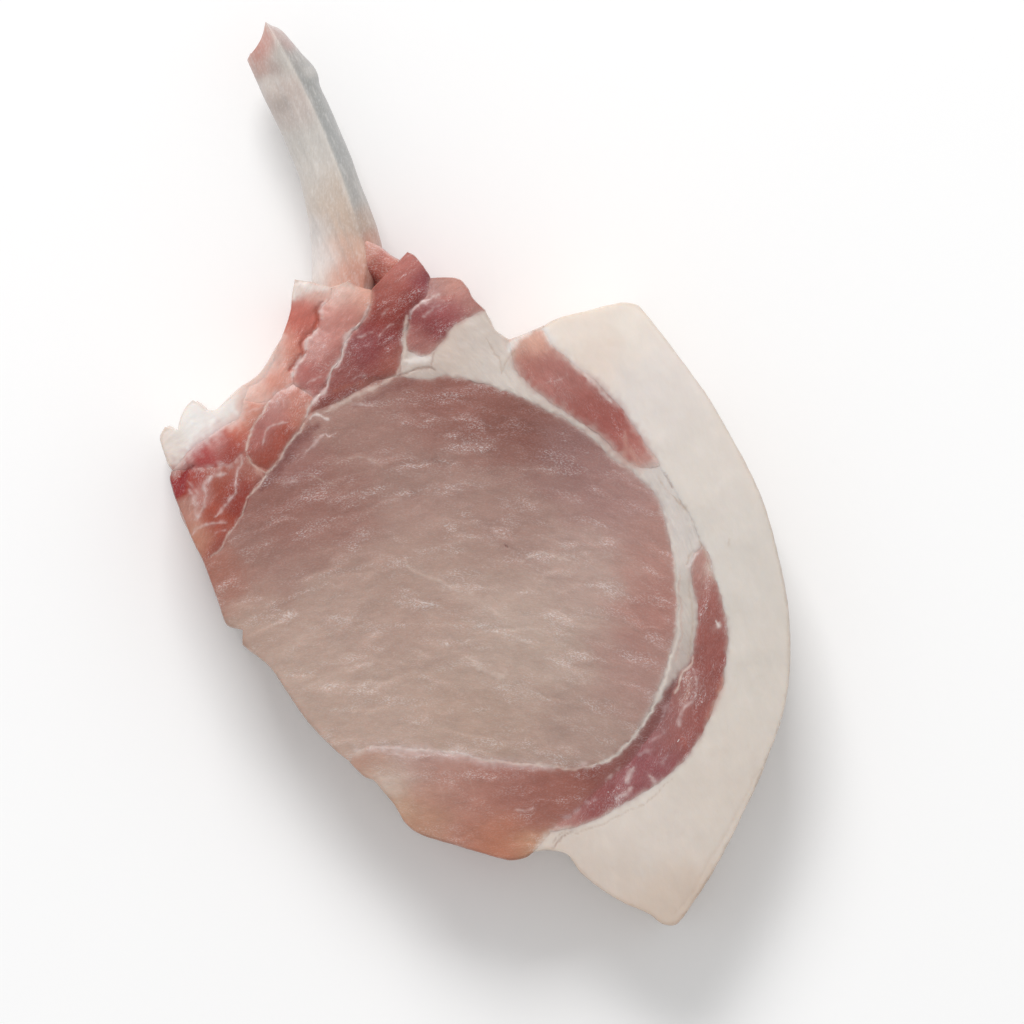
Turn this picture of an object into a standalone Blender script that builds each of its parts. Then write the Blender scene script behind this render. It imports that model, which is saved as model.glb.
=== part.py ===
"""Raw pork rib chop, bone in, lying flat on its cut face.

The chop is a slice across the loin. Each muscle, each layer of fat and the white edge along the
backbone runs through the whole slice, so each one is a slab of its own, with a hair's gap to the
next. The slabs share one plan: a set of borders that meet at junctions. The rib sticks out of the
far end at half height, and its base sits in a pocket of the blade strips.

Frame: metres, +Z up, the underside at z = 0. +X points to the fat cap and +Y along the rib.
Plan points are in millimetres.
"""

import math
from dataclasses import dataclass

import bmesh
import bpy
import numpy as np
from mathutils import Vector

MM = 0.001

# Driving dimensions, in millimetres
THICKNESS = 25.0            # at the loin eye
TAPER = 2.5                 # how much thinner the slice is at its far ends
TAPER_START = 45.0          # distance from the centre of the eye where the taper begins
TAPER_LENGTH = 50.0
GAP = 0.3                   # between neighbours
BORDER_STEP = 3.2           # longest straight stretch of a border
SLICE_STEP = 9.0            # grid that lets the cut face bend
EDGE_DROP = 0.7             # how far a slab's top edge lies below its middle
EDGE_WIDTH = 3.0
EDGE_GROOVE = 0.4           # how far the top edge steps back, which opens the seam to a groove
RIM_PULL = 1.2              # how far the rim turns in at the top and the bottom
RIM_PULL_SKIN = 1.8         # the same on the rounded skin side of the fat cap
RIM_REACH = 6.0
RIM_ROUND = 4.5             # height of the rounding at the top and at the bottom
DIRECTION_BLEND = 4.0       # over which an outline's direction is averaged
SHARP_ANGLE = math.radians(40)      # edges of a slab sharper than this stay crisp
SKIN_SIDE = Vector((0.8, -0.6))
EYE_CENTRE = Vector((-6.0, -20.0))

RIB_THICK = 10.5            # height of the rib
RIB_BASE_Z = 6.5            # its underside above the board
RIB_STATIONS = 13
RIB_TIP_LIFT = 1.5
RIB_SWELL = 1.07            # makes up for what the rounding takes off
SAW_SIZE = 30.0
MARROW_RADIUS = 3.6
MARROW_DEPTH = 1.2
DISH_SEGMENTS = 16
DISH_RINGS = 10
WEB_ROUND = 0.8             # bevel round the web's faces

# Outer rim, clockwise, then the seams inside. Each border runs from junction to junction.
BORDERS = {
    "rim_middle": [(-29, 37), (-26, 38), (-25, 38.5), (-24, 37.5), (-20.5, 36.5)],
    "rim_inner": [(-20.5, 36.5), (-18, 39.5), (-15, 42.5), (-13.5, 44), (-11, 42), (-9, 39)],
    "rim_top": [(-9, 39), (-3, 38.5), (-0.5, 35), (2, 32.5)],
    "rim_seam": [(2, 32.5), (4, 28.5), (7, 26.5)],
    "rim_cap": [(7, 26.5), (13.5, 29)],
    "rim_fat": [(13.5, 29), (17, 31), (23, 32.5), (29.5, 34), (32.5, 33.5), (41, 23), (47, 14.5), (53, 4),
                (57.5, -5.5), (60.5, -16), (62.5, -26.5), (63, -36), (62, -47), (58, -58.5), (53, -70),
                (46, -82.5), (40, -90.5), (35, -88.5), (27.5, -85), (21, -80), (18.5, -76.5),
                (14, -75.5), (11.5, -76)],
    "rim_lower": [(11.5, -76), (7, -77.5), (-4, -74.5), (-12.5, -71.5), (-16.5, -66), (-20.5, -61.5),
                  (-22, -61), (-25, -58)],
    "rim_eye": [(-25, -58), (-29.5, -54), (-34.5, -48.5), (-41, -39), (-46.5, -34.5), (-46.5, -31.5),
                (-49.5, -30.5), (-51.5, -25.5), (-54.5, -17.5)],
    "rim_tail": [(-54.5, -17.5), (-58, -10), (-60, -5), (-61, -1), (-60.5, 0.5)],
    "rim_chine": [(-60.5, 0.5), (-62, 3.5), (-63, 7), (-62, 9), (-59.5, 8.5), (-58.5, 12), (-56.5, 14.5),
                  (-54, 12.5), (-52, 12.5), (-47, 17), (-43, 20), (-38.5, 27.5)],
    "rim_outer": [(-38.5, 27.5), (-37, 32.5), (-36, 38.5), (-33, 38), (-29, 37)],
    "outer_middle": [(-29, 37), (-29, 35), (-31.5, 32), (-31.5, 29), (-34, 27.5), (-34, 24.5), (-36.5, 21),
                     (-36, 18)],
    "middle_bundle": [(-36, 18), (-32.5, 14.5)],
    "middle_inner": [(-20.5, 36.5), (-21.5, 31.5), (-26, 26), (-27, 23), (-30, 17.5), (-32.5, 14.5)],
    "inner_bundle": [(-32.5, 14.5), (-33, 12)],
    "bundle_eye": [(-33, 12), (-36.5, 7), (-38.5, 4), (-41, 0.5)],
    "tail_eye": [(-41, 0.5), (-44.5, -3.5), (-46.5, -8), (-49, -12.5), (-51.5, -16), (-54.5, -17.5)],
    "inner_eye": [(-33, 12), (-26.5, 14.5), (-21, 17.5), (-15, 19.5)],
    "inner_seam": [(-15, 19.5), (-14.5, 25.5), (-13.5, 29.5)],
    "inner_top": [(-9, 39), (-10, 35), (-12.5, 33), (-13.5, 29.5)],
    "top_seam": [(-13.5, 29.5), (-13.5, 24.5), (-11, 23), (-8, 24.5), (-4, 29.5), (-1.5, 31), (2, 32.5)],
    "seam_cap": [(7, 26.5), (9, 19.5), (16, 13.5), (25, 7.5), (30.5, 2), (33.5, 1), (37, 1.5)],
    "cap_fat": [(13.5, 29), (17, 24), (28.5, 14), (37, 1.5)],
    "seam_fat_cap": [(37, 1.5), (42.5, -8), (45.5, -14)],
    "side_fat": [(45.5, -14), (49.5, -26), (50.5, -36), (48, -46.5), (42, -57.5), (32, -65), (21.5, -70.5),
                 (15, -72)],
    "lower_fat": [(15, -72), (11.5, -76)],
    "lower_side": [(15, -72), (23, -65), (31.5, -57), (38, -48), (41, -40)],
    "side_seam": [(41, -40), (43.5, -36.5), (44.5, -27), (43, -19), (45.5, -14)],
    "seam_lower": [(41, -40), (37, -45), (32.5, -52)],
    "seam_eye": [(-15, 19.5), (-9, 18.5), (-6, 19.5), (6, 16.5), (20.5, 9), (28, 2.5), (35.5, -3.5),
                 (39, -13.5), (40.5, -28), (38, -39.5), (32.5, -52)],
    "eye_lower": [(32.5, -52), (25.5, -58), (17, -59), (4, -57.5), (-19.5, -54.5), (-25, -58)],
    "outer_chine": [(-38.5, 27.5), (-42, 19.5), (-45, 17), (-46.5, 14.5)],
    "chine_band": [(-46.5, 14.5), (-47, 11.5), (-54.5, 6.5), (-60.5, 0.5)],
    "outer_band": [(-46.5, 14.5), (-43, 14), (-41.5, 14.5)],
    "outer_bundle": [(-41.5, 14.5), (-36, 18)],
    "bundle_band": [(-41.5, 14.5), (-45, 8.5), (-46, 4)],
    "bundle_tail": [(-46, 4), (-44, 1.5), (-41, 0.5)],
    "band_tail": [(-46, 4), (-49.5, 1.5), (-53.5, 1), (-60.5, 0.5)],
}
RIM = ["rim_middle", "rim_inner", "rim_top", "rim_seam", "rim_cap", "rim_fat", "rim_lower", "rim_eye",
       "rim_tail", "rim_chine", "rim_outer"]

# The rib in plan: its two sides and the ridge along its top, from past the tip into the meat
RIB_LEFT = [(-49.5, 92), (-46, 84), (-43, 77), (-37, 63.5), (-34, 53.5), (-33, 45.5), (-33, 38), (-32, 29)]
RIB_RIGHT = [(-41, 91.5), (-35.5, 85.5), (-31.5, 79.5), (-25.5, 65), (-22.5, 56.5), (-19.5, 48.5),
             (-18.5, 44), (-19.5, 38), (-20.5, 29)]
RIB_RIDGE = [(-43, 92), (-38.5, 84.5), (-35, 78), (-31, 69.5), (-27, 59.5), (-24, 50.5), (-22, 43.5),
             (-22.5, 38), (-23.5, 29)]
# The corners of its section, from the left side over the top: each lies between two of the lines
# left, right and ridge, at a share of the way and at a share of the rib's height
RIB_SECTION = [("left", "ridge", 0.0, 0.50), ("left", "ridge", 0.35, 0.90), ("left", "ridge", 1.0, 1.04),
               ("ridge", "right", 0.7, 0.82), ("ridge", "right", 1.0, 0.45), ("right", "left", 0.2, 0.08),
               ("right", "left", 0.6, -0.04), ("left", "right", 0.15, 0.12)]
SAW_LINE = (Vector((-46.3, 83.8)), Vector((-42.5, 90.3)))       # the sawn face in plan, at its lower edge
SAW_TILT = math.radians(16)

# The web of meat that drapes from the lip of the inner strip over the rib's right shoulder
WEB_OUTLINE = [(-22, 38.5), (-20.7, 37.8), (-18.6, 40.2), (-16, 42.7), (-18.5, 44.5), (-21.5, 44.5),
               (-21.5, 41.5)]
WEB_TOP = 19.0
WEB_BOTTOM = 9.0

# Colours in linear RGB
LEAN_PALE = (0.42, 0.27, 0.21)
LEAN_ROSE = (0.50, 0.24, 0.20)
LEAN_RED = (0.38, 0.16, 0.14)
LEAN_DARK = (0.28, 0.10, 0.09)
FAT = (0.66, 0.58, 0.52)
FAT_SEAM = (0.58, 0.48, 0.43)
SINEW = (0.76, 0.68, 0.62)
BONE = (0.55, 0.48, 0.42)


@dataclass(frozen=True)
class Slab:
    """One layer of the slice: its borders in order round the outline, colour and crown."""

    name: str
    borders: tuple
    colour: tuple
    crown: float = 0.6
    roughness: float = 0.35


SLABS = [
    Slab("loin_eye", ("seam_eye", "eye_lower", "rim_eye", "tail_eye", "bundle_eye", "inner_eye"),
         LEAN_PALE, 1.1),
    Slab("fat_cap", ("rim_fat", "lower_fat", "side_fat", "seam_fat_cap", "cap_fat"), FAT, 0.6, 0.45),
    Slab("seam_fat", ("rim_seam", "seam_cap", "seam_fat_cap", "side_seam", "seam_lower", "seam_eye",
                      "inner_seam", "top_seam"), FAT_SEAM, 0.3, 0.45),
    Slab("cap_muscle", ("rim_cap", "cap_fat", "seam_cap"), LEAN_ROSE, 0.8),
    Slab("side_muscle", ("side_fat", "lower_side", "side_seam"), LEAN_RED, 0.8),
    Slab("lower_muscle", ("lower_fat", "rim_lower", "eye_lower", "seam_lower", "lower_side"),
         LEAN_PALE, 0.8),
    Slab("blade_strip_outer", ("rim_outer", "outer_middle", "outer_bundle", "outer_band", "outer_chine"),
         LEAN_ROSE),
    Slab("blade_strip_middle", ("rim_middle", "middle_inner", "middle_bundle", "outer_middle"), LEAN_ROSE),
    Slab("blade_strip_inner", ("rim_inner", "inner_top", "inner_seam", "inner_eye", "inner_bundle",
                               "middle_inner"), LEAN_RED),
    Slab("blade_strip_top", ("rim_top", "top_seam", "inner_top"), LEAN_RED),
    Slab("chine_bundle", ("outer_bundle", "middle_bundle", "inner_bundle", "bundle_eye", "bundle_tail",
                          "bundle_band"), LEAN_ROSE),
    Slab("chine_band", ("outer_band", "bundle_band", "band_tail", "chine_band"), LEAN_DARK),
    Slab("tail_bundle", ("bundle_tail", "tail_eye", "rim_tail", "band_tail"), LEAN_ROSE),
    Slab("chine_edge", ("outer_chine", "chine_band", "rim_chine"), SINEW, 0.3, 0.4),
]
RIB_POCKETS = ("blade_strip_outer", "blade_strip_middle", "blade_strip_inner", "rib_web")


def smooth_border(points, step=BORDER_STEP):
    """Return points along a Catmull-Rom curve through the given ones, about one step apart."""
    knots = [Vector(p) for p in points]
    first, last = 2 * knots[0] - knots[1], 2 * knots[-1] - knots[-2]
    knots = [first] + knots + [last]
    curve = [knots[1]]
    for a, b, c, d in zip(knots, knots[1:], knots[2:], knots[3:]):
        count = max(1, math.ceil((c - b).length / step))
        for i in range(1, count + 1):
            t = i / count
            bend = (2 * a - 5 * b + 4 * c - d) * t ** 2 + (3 * b - a - 3 * c + d) * t ** 3
            curve.append(b + 0.5 * ((c - a) * t + bend))
    return curve


def join_borders(names):
    """Chain borders end to end into one closed, clockwise outline."""
    pieces = [smooth_border(BORDERS[name]) for name in names]
    outline = []
    for i, piece in enumerate(pieces):
        following = pieces[(i + 1) % len(pieces)]
        ends = [following[0], following[-1]]
        if min((piece[-1] - end).length for end in ends) > GAP:
            piece = piece[::-1]
        outline += piece[:-1]
    area = sum(p.cross(q) for p, q in zip(outline, outline[1:] + outline[:1]))
    return outline if area < 0 else outline[::-1]


def side_normals(outline):
    """Return the inward mitre vector at each point of a clockwise outline."""
    normals = []
    for before, here, after in zip(outline[-1:] + outline[:-1], outline, outline[1:] + outline[:1]):
        into = (here - before).normalized()
        out = (after - here).normalized()
        turn = Vector((into.y, -into.x)) + Vector((out.y, -out.x))
        normals.append(turn / max(turn.length_squared / 2, 0.12))
    return normals


def inset(outline, distance):
    """Move every side of a clockwise outline inwards by a distance."""
    return [p + n * distance for p, n in zip(outline, side_normals(outline))]


def new_collection(name):
    """Create a collection and link it to the scene."""
    collection = bpy.data.collections.new(name)
    bpy.context.scene.collection.children.link(collection)
    return collection


def material(name, colour, roughness, metallic=0.0):
    """Create a Principled material from its main values."""
    mat = bpy.data.materials.new(name)
    mat.use_nodes = True
    shader = mat.node_tree.nodes["Principled BSDF"]
    shader.inputs["Base Color"].default_value = (*colour, 1.0)
    shader.inputs["Roughness"].default_value = roughness
    shader.inputs["Metallic"].default_value = metallic
    return mat


def extruded_outline(name, outline, bottom, top, collection):
    """Extrude a flat outline between two heights and return it as a welded mesh object."""
    curve = bpy.data.curves.new(name + "_outline", "CURVE")
    curve.dimensions = "2D"
    curve.fill_mode = "BOTH"
    curve.extrude = (top - bottom) / 2 * MM
    spline = curve.splines.new("POLY")
    spline.points.add(len(outline) - 1)
    for point, plan in zip(spline.points, outline):
        point.co = (plan.x * MM, plan.y * MM, 0.0, 1.0)
    spline.use_cyclic_u = True
    guide = bpy.data.objects.new(name + "_outline", curve)
    guide.location.z = (top + bottom) / 2 * MM
    collection.objects.link(guide)
    bpy.context.view_layer.update()

    depsgraph = bpy.context.evaluated_depsgraph_get()
    mesh = bpy.data.meshes.new_from_object(guide.evaluated_get(depsgraph))
    mesh.name = name
    mesh.transform(guide.matrix_world)
    bpy.data.objects.remove(guide)
    bm = bmesh.new()
    bm.from_mesh(mesh)
    bmesh.ops.remove_doubles(bm, verts=bm.verts, dist=GAP * MM / 20)
    bmesh.ops.dissolve_limit(bm, angle_limit=math.radians(0.5), verts=bm.verts, edges=bm.edges)
    bmesh.ops.recalc_face_normals(bm, faces=bm.faces)
    bm.to_mesh(mesh)
    bm.free()
    obj = bpy.data.objects.new(name, mesh)
    collection.objects.link(obj)
    return obj


def slice_faces(bm, faces, axis, positions):
    """Cut faces by planes across one axis, so that they can bend there."""
    normal = Vector((0.0, 0.0, 0.0))
    normal[axis] = 1.0
    for position in positions:
        geometry = list({v for f in faces() for v in f.verts})
        geometry += list({e for f in faces() for e in f.edges}) + list(faces())
        bmesh.ops.bisect_plane(bm, geom=geometry, dist=1e-6, plane_co=normal * position * MM,
                               plane_no=normal)


class Outline:
    """A closed outline that tells how far away it is, and which way is inwards, at any place."""

    def __init__(self, points):
        self.start = np.array([p[:] for p in points])
        self.normal = np.array([n.normalized()[:] for n in side_normals(points)])
        self.run = np.roll(self.start, -1, axis=0) - self.start

    def at(self, place):
        """Return the distance from the outline and the inward direction at a place in plan."""
        offset = np.array(place[:]) - self.start
        share = np.clip((offset * self.run).sum(1) / (self.run ** 2).sum(1), 0.0, 1.0)[:, None]
        distance = np.linalg.norm(offset - self.run * share, axis=1)
        inward = self.normal * (1 - share) + np.roll(self.normal, -1, axis=0) * share
        weight = np.exp((distance.min() - distance) / DIRECTION_BLEND)
        return distance.min(), Vector((inward * weight[:, None]).sum(0) / weight.sum())


def slice_height(place):
    """Return the thickness of the slice at a place in plan."""
    away = ((place - EYE_CENTRE).length - TAPER_START) / TAPER_LENGTH
    return THICKNESS - TAPER * min(max(away, 0.0), 1.0) ** 2


def rounding(z, height):
    """Return how far the rim turns in at a height: 1 at the two cut faces, 0 between them."""
    edge = min(z, height - z)
    return max(0.0, 1.0 - edge / RIM_ROUND) ** 2


def bend_slab(mesh, outline, crown, rim):
    """Give a straight slab its crowned top and the rounded rim of the whole chop."""
    for vertex in mesh.vertices:
        place = Vector(vertex.co[:2]) / MM
        height = slice_height(place)
        z = vertex.co.z / MM * height / THICKNESS
        depth, inward = rim.at(place)
        skin = max(0.0, -inward.dot(SKIN_SIDE)) ** 2
        pull = RIM_PULL + (RIM_PULL_SKIN - RIM_PULL) * skin
        moved = place + inward * pull * rounding(z, height) * math.exp(-depth / RIM_REACH)
        if vertex.co.z > (THICKNESS - RIM_ROUND / 2) * MM:
            depth, inward = outline.at(place)
            edge = math.exp(-depth / EDGE_WIDTH)
            z += crown * (1 - edge) - EDGE_DROP * edge
            moved += inward * EDGE_GROOVE * edge
        vertex.co = Vector((moved.x, moved.y, z)) * MM


def build_slab(slab, rim, collection):
    """Build one layer of the slice from its borders."""
    outline = inset(join_borders(slab.borders), GAP / 2)
    obj = extruded_outline(slab.name, outline, 0.0, THICKNESS, collection)
    bm = bmesh.new()
    bm.from_mesh(obj.data)

    def top_faces():
        return [f for f in bm.faces if f.normal.z > 0.9]

    def side_faces():
        return [f for f in bm.faces if abs(f.normal.z) < 0.1]

    lows = [min(p[i] for p in outline) for i in range(2)]
    highs = [max(p[i] for p in outline) for i in range(2)]
    for axis in range(2):
        first = math.ceil(lows[axis] / SLICE_STEP)
        last = math.floor(highs[axis] / SLICE_STEP)
        slice_faces(bm, top_faces, axis, [k * SLICE_STEP for k in range(first, last + 1)])
    slice_faces(bm, side_faces, 2, [RIM_ROUND, THICKNESS - RIM_ROUND])
    bmesh.ops.triangulate(bm, faces=[f for f in bm.faces if len(f.verts) > 3])
    bm.to_mesh(obj.data)
    bm.free()
    bend_slab(obj.data, Outline(outline), slab.crown, rim)
    obj.data.materials.append(material(slab.name, slab.colour, slab.roughness))
    obj.data.shade_smooth()
    obj.data.set_sharp_from_angle(angle=SHARP_ANGLE)
    return obj


def rib_section(left, right, ridge, base_z, grow):
    """Return the eight corners of the rib's cross-section, from the left side over the top."""
    low, high = base_z - grow, base_z + RIB_THICK + grow
    span = high - low
    middle = (left + right) / 2
    swell = RIB_SWELL + 2 * grow / (right - left).length
    lines = {"left": middle + (left - middle) * swell, "right": middle + (right - middle) * swell,
             "ridge": ridge}
    corners = []
    for start, end, share, level in RIB_SECTION:
        plan = lines[start].lerp(lines[end], share)
        corners.append(Vector((plan.x, plan.y, low + level * span)) * MM)
    return corners


def build_rib(name, grow, collection):
    """Loft the rib from past its tip to its base in the meat, grown all round by a margin."""
    sides = [smooth_border(line) for line in (RIB_LEFT, RIB_RIGHT, RIB_RIDGE)]
    bm = bmesh.new()
    rings = []
    for i in range(RIB_STATIONS):
        t = i / (RIB_STATIONS - 1)
        left, right, ridge = [line[round(t * (len(line) - 1))] for line in sides]
        base_z = RIB_BASE_Z + RIB_TIP_LIFT * (1 - t) ** 2
        ring = rib_section(left, right, ridge, base_z, grow)
        rings.append([bm.verts.new(corner) for corner in ring])
    for ring, following in zip(rings, rings[1:]):
        for k, corner in enumerate(ring):
            m = (k + 1) % len(ring)
            bm.faces.new((corner, ring[m], following[m], following[k]))
    bm.faces.new(rings[0][::-1])
    bm.faces.new(rings[-1])
    bmesh.ops.recalc_face_normals(bm, faces=bm.faces)
    mesh = bpy.data.meshes.new(name)
    bm.to_mesh(mesh)
    bm.free()
    obj = bpy.data.objects.new(name, mesh)
    collection.objects.link(obj)
    soft = obj.modifiers.new("soft", "SUBSURF")
    soft.levels = 1
    soft.render_levels = 1
    return obj


def saw_tip(rib, cutters):
    """Saw the rib's tip off at a slant and hollow the marrow out a little."""
    low, high = SAW_LINE
    along = (high - low).normalized()
    flat = math.cos(SAW_TILT)
    normal = Vector((-along.y * flat, along.x * flat, math.sin(SAW_TILT)))
    middle = (low + high) / 2
    foot = Vector((middle.x, middle.y, RIB_BASE_Z + RIB_TIP_LIFT))
    up_face = Vector((0.0, 0.0, 1.0)) - normal * normal.z
    marrow = foot + up_face * RIB_THICK / 2

    bpy.ops.mesh.primitive_cube_add(size=SAW_SIZE * MM, location=(foot + normal * SAW_SIZE / 2) * MM)
    saw = bpy.context.object
    saw.rotation_euler = normal.to_track_quat("Z", "Y").to_euler()
    radius = (MARROW_RADIUS ** 2 + MARROW_DEPTH ** 2) / (2 * MARROW_DEPTH)
    bpy.ops.mesh.primitive_uv_sphere_add(segments=DISH_SEGMENTS, ring_count=DISH_RINGS, radius=radius * MM,
                                         location=(marrow + normal * (radius - MARROW_DEPTH)) * MM)
    dish = bpy.context.object
    for name, cutter in (("saw", saw), ("marrow_dish", dish)):
        cutter.name = name
        if cutter.name not in cutters.objects:
            cutters.objects.link(cutter)
        for home in cutter.users_collection:
            if home is not cutters:
                home.objects.unlink(cutter)
        cutter.hide_render = True
        cutter.display_type = "WIRE"
        cut(rib, name, cutter)


def build_web(collection):
    """Build the small web of meat beside the rib."""
    obj = extruded_outline("rib_web", smooth_outline(WEB_OUTLINE), WEB_BOTTOM, WEB_TOP, collection)
    obj.data.materials.append(material("rib_web", LEAN_DARK, 0.35))
    edge = obj.modifiers.new("round", "BEVEL")
    edge.width = WEB_ROUND * MM
    edge.segments = 2
    edge.limit_method = "ANGLE"
    edge.angle_limit = math.radians(60)
    return obj


def smooth_outline(points):
    """Return a closed, rounded, clockwise outline through a few points."""
    closed = points[-1:] + points + points[:2]
    ring = smooth_border(closed, step=2.0)
    start = ring.index(Vector(points[0]))
    end = len(ring) - 1 - ring[::-1].index(Vector(points[0]))
    outline = ring[start:end]
    area = sum(p.cross(q) for p, q in zip(outline, outline[1:] + outline[:1]))
    return outline if area < 0 else outline[::-1]


def cut(obj, name, cutter):
    """Cut one piece away from another."""
    step = obj.modifiers.new(name, "BOOLEAN")
    step.operation = "DIFFERENCE"
    step.solver = "EXACT"
    step.object = cutter


def main():
    """Build the chop."""
    for obj in list(bpy.data.objects):
        bpy.data.objects.remove(obj)
    chop = new_collection("raw_pork_chop")
    cutters = new_collection("cutters")
    rim = Outline([p for name in RIM for p in smooth_border(BORDERS[name])[:-1]])
    for slab in SLABS:
        build_slab(slab, rim, chop)
    build_web(chop)
    rib = build_rib("rib_bone", 0.0, chop)
    rib.data.materials.append(material("rib_bone", BONE, 0.4))
    rib.data.shade_smooth()
    saw_tip(rib, cutters)
    cutter = build_rib("rib_pocket_cutter", GAP, cutters)
    cutter.hide_render = True
    cutter.display_type = "WIRE"
    for name in RIB_POCKETS:
        cut(chop.objects[name], "rib_pocket", cutter)


main()
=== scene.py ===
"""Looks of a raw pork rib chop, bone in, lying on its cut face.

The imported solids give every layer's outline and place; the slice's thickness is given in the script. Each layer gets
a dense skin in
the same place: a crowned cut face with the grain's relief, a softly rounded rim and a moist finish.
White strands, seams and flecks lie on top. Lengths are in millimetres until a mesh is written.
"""

import logging
import math
from dataclasses import dataclass, field
from enum import Enum
from typing import Sequence

import bpy
import numpy as np
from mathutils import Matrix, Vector
from mathutils.geometry import delaunay_2d_cdt
from mathutils.kdtree import KDTree


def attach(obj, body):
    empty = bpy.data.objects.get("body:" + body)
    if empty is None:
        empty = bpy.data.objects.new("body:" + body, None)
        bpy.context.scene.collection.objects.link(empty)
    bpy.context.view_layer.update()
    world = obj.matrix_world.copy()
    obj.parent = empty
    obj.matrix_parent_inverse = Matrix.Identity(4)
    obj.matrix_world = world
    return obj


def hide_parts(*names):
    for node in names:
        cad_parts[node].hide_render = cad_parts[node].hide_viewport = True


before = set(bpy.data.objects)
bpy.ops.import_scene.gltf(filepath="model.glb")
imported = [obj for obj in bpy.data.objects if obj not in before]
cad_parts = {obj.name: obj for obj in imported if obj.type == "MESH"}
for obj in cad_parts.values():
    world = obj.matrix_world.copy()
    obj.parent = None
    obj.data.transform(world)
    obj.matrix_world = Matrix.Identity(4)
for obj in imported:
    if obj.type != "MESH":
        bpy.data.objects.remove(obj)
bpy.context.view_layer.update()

MM = 0.001
SHARP_ANGLE = math.radians(55)   # edges sharper than this stay crisp
CORNER_ANGLE = math.radians(48)  # corners of an outline sharper than this stay
SECTION_HEIGHT = 18.1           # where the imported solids' walls are upright and clear of the rib
log = logging.getLogger("chop")

Array = np.ndarray
Plan = tuple[float, float]


# ---------------------------------------------------------------- colours and nodes

def linear(colour: str) -> tuple[float, float, float]:
    """Turn an sRGB hex colour to linear RGB.

    Args:
        colour: The colour as "#rrggbb".

    Returns:
        The three linear values.
    """
    parts = [int(colour[i:i + 2], 16) / 255 for i in (1, 3, 5)]
    return tuple(c / 12.92 if c <= 0.04045 else ((c + 0.055) / 1.055) ** 2.4 for c in parts)


def add(tree: bpy.types.NodeTree, kind: str, settings: dict | None = None, **sockets) -> bpy.types.Node:
    """Add a node with its settings and links.

    Args:
        tree: The node tree.
        kind: The node's type name.
        settings: Properties of the node, such as its operation.
        **sockets: An input's name or "i" and its number, with a value or the socket to link from.

    Returns:
        The new node.
    """
    node = tree.nodes.new(kind)
    for name, value in (settings or {}).items():
        setattr(node, name, value)
    for name, value in sockets.items():
        numbered = name[0] == "i" and name[1:].isdigit()
        socket = node.inputs[int(name[1:])] if numbered else node.inputs[name.replace("_", " ")]
        if isinstance(value, bpy.types.NodeSocket):
            tree.links.new(value, socket)
        else:
            socket.default_value = value
    return node


# ---------------------------------------------------------------- numbers on plans

class GradientNoise:
    """Repeatable smooth noise in space, about -1 to 1."""

    def __init__(self, seed: int) -> None:
        """Draw the lattice's directions.

        Args:
            seed: The fixed seed.
        """
        draw = np.random.default_rng(seed)
        self.order = draw.permutation(256)
        self.slope = draw.normal(size=(256, 3))
        self.slope /= np.linalg.norm(self.slope, axis=1)[:, None]

    def __call__(self, x: Array, y: Array, z: Array | float = 0.0) -> Array:
        """Return the noise at points given by their three coordinates."""
        place = np.stack(np.broadcast_arrays(x, y, z), axis=-1).astype(float)
        cell = np.floor(place).astype(int)
        part = place - cell
        ease = part ** 3 * (part * (part * 6 - 15) + 10)
        total = np.zeros(place.shape[:-1])
        for corner in np.ndindex(2, 2, 2):
            spot = (cell + corner) & 255
            pick = self.order[(self.order[(self.order[spot[..., 0]] + spot[..., 1]) & 255] + spot[..., 2]) & 255]
            weight = np.where(corner, ease, 1 - ease).prod(axis=-1)
            total += weight * (self.slope[pick] * (part - corner)).sum(axis=-1)
        return total * 1.7


def smoothstep(low: float, high: float, value: Array) -> Array:
    """Return 0 below low, 1 above high, and a smooth rise between."""
    t = np.clip((value - low) / (high - low), 0.0, 1.0)
    return t * t * (3 - 2 * t)


def smooth_line(points: Sequence, step: float, closed: bool = False) -> Array:
    """Draw a smooth curve through points.

    Args:
        points: The points that the curve passes.
        step: About how far apart the returned points lie.
        closed: Whether the curve runs back to its start.

    Returns:
        The curve's points, one row each.
    """
    knots = np.asarray(points, float)
    if closed:
        knots = np.vstack([knots[-1:], knots, knots[:2]])
    else:
        knots = np.vstack([2 * knots[0] - knots[1], knots, 2 * knots[-1] - knots[-2]])
    curve = []
    for a, b, c, d in zip(knots, knots[1:], knots[2:], knots[3:]):
        reach = np.linalg.norm(c - b)
        into = reach / max(np.linalg.norm(b - a), reach * 0.3)
        out = reach / max(np.linalg.norm(d - c), reach * 0.3)
        start = 0.5 * ((c - b) + (b - a) * min(into, 3.0))
        end = 0.5 * ((c - b) + (d - c) * min(out, 3.0))
        count = max(1, math.ceil(reach / step))
        t = np.arange(count)[:, None] / count
        curve.append((2 * t ** 3 - 3 * t ** 2 + 1) * b + (t ** 3 - 2 * t ** 2 + t) * start
                     + (3 * t ** 2 - 2 * t ** 3) * c + (t ** 3 - t ** 2) * end)
    curve = np.vstack(curve)
    return curve if closed else np.vstack([curve, knots[-2]])


def smooth_ring(corners: Array, step: float) -> Array:
    """Smooth a closed outline between its sharp corners, which stay.

    Args:
        corners: The outline's corners.
        step: About how far apart the returned points lie.

    Returns:
        The outline's points.
    """
    into = corners - np.roll(corners, 1, axis=0)
    out = np.roll(corners, -1, axis=0) - corners
    turn = (into * out).sum(axis=1) / np.linalg.norm(into, axis=1) / np.linalg.norm(out, axis=1)
    sharp = np.flatnonzero(turn < math.cos(CORNER_ANGLE))
    if len(sharp) == 0:
        return smooth_line(corners, step, closed=True)
    ends = np.append(sharp, sharp[0] + len(corners))
    chains = [smooth_line(corners[np.arange(a, b + 1) % len(corners)], step)[:-1] for a, b in zip(ends, ends[1:])]
    return np.vstack(chains)


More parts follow.
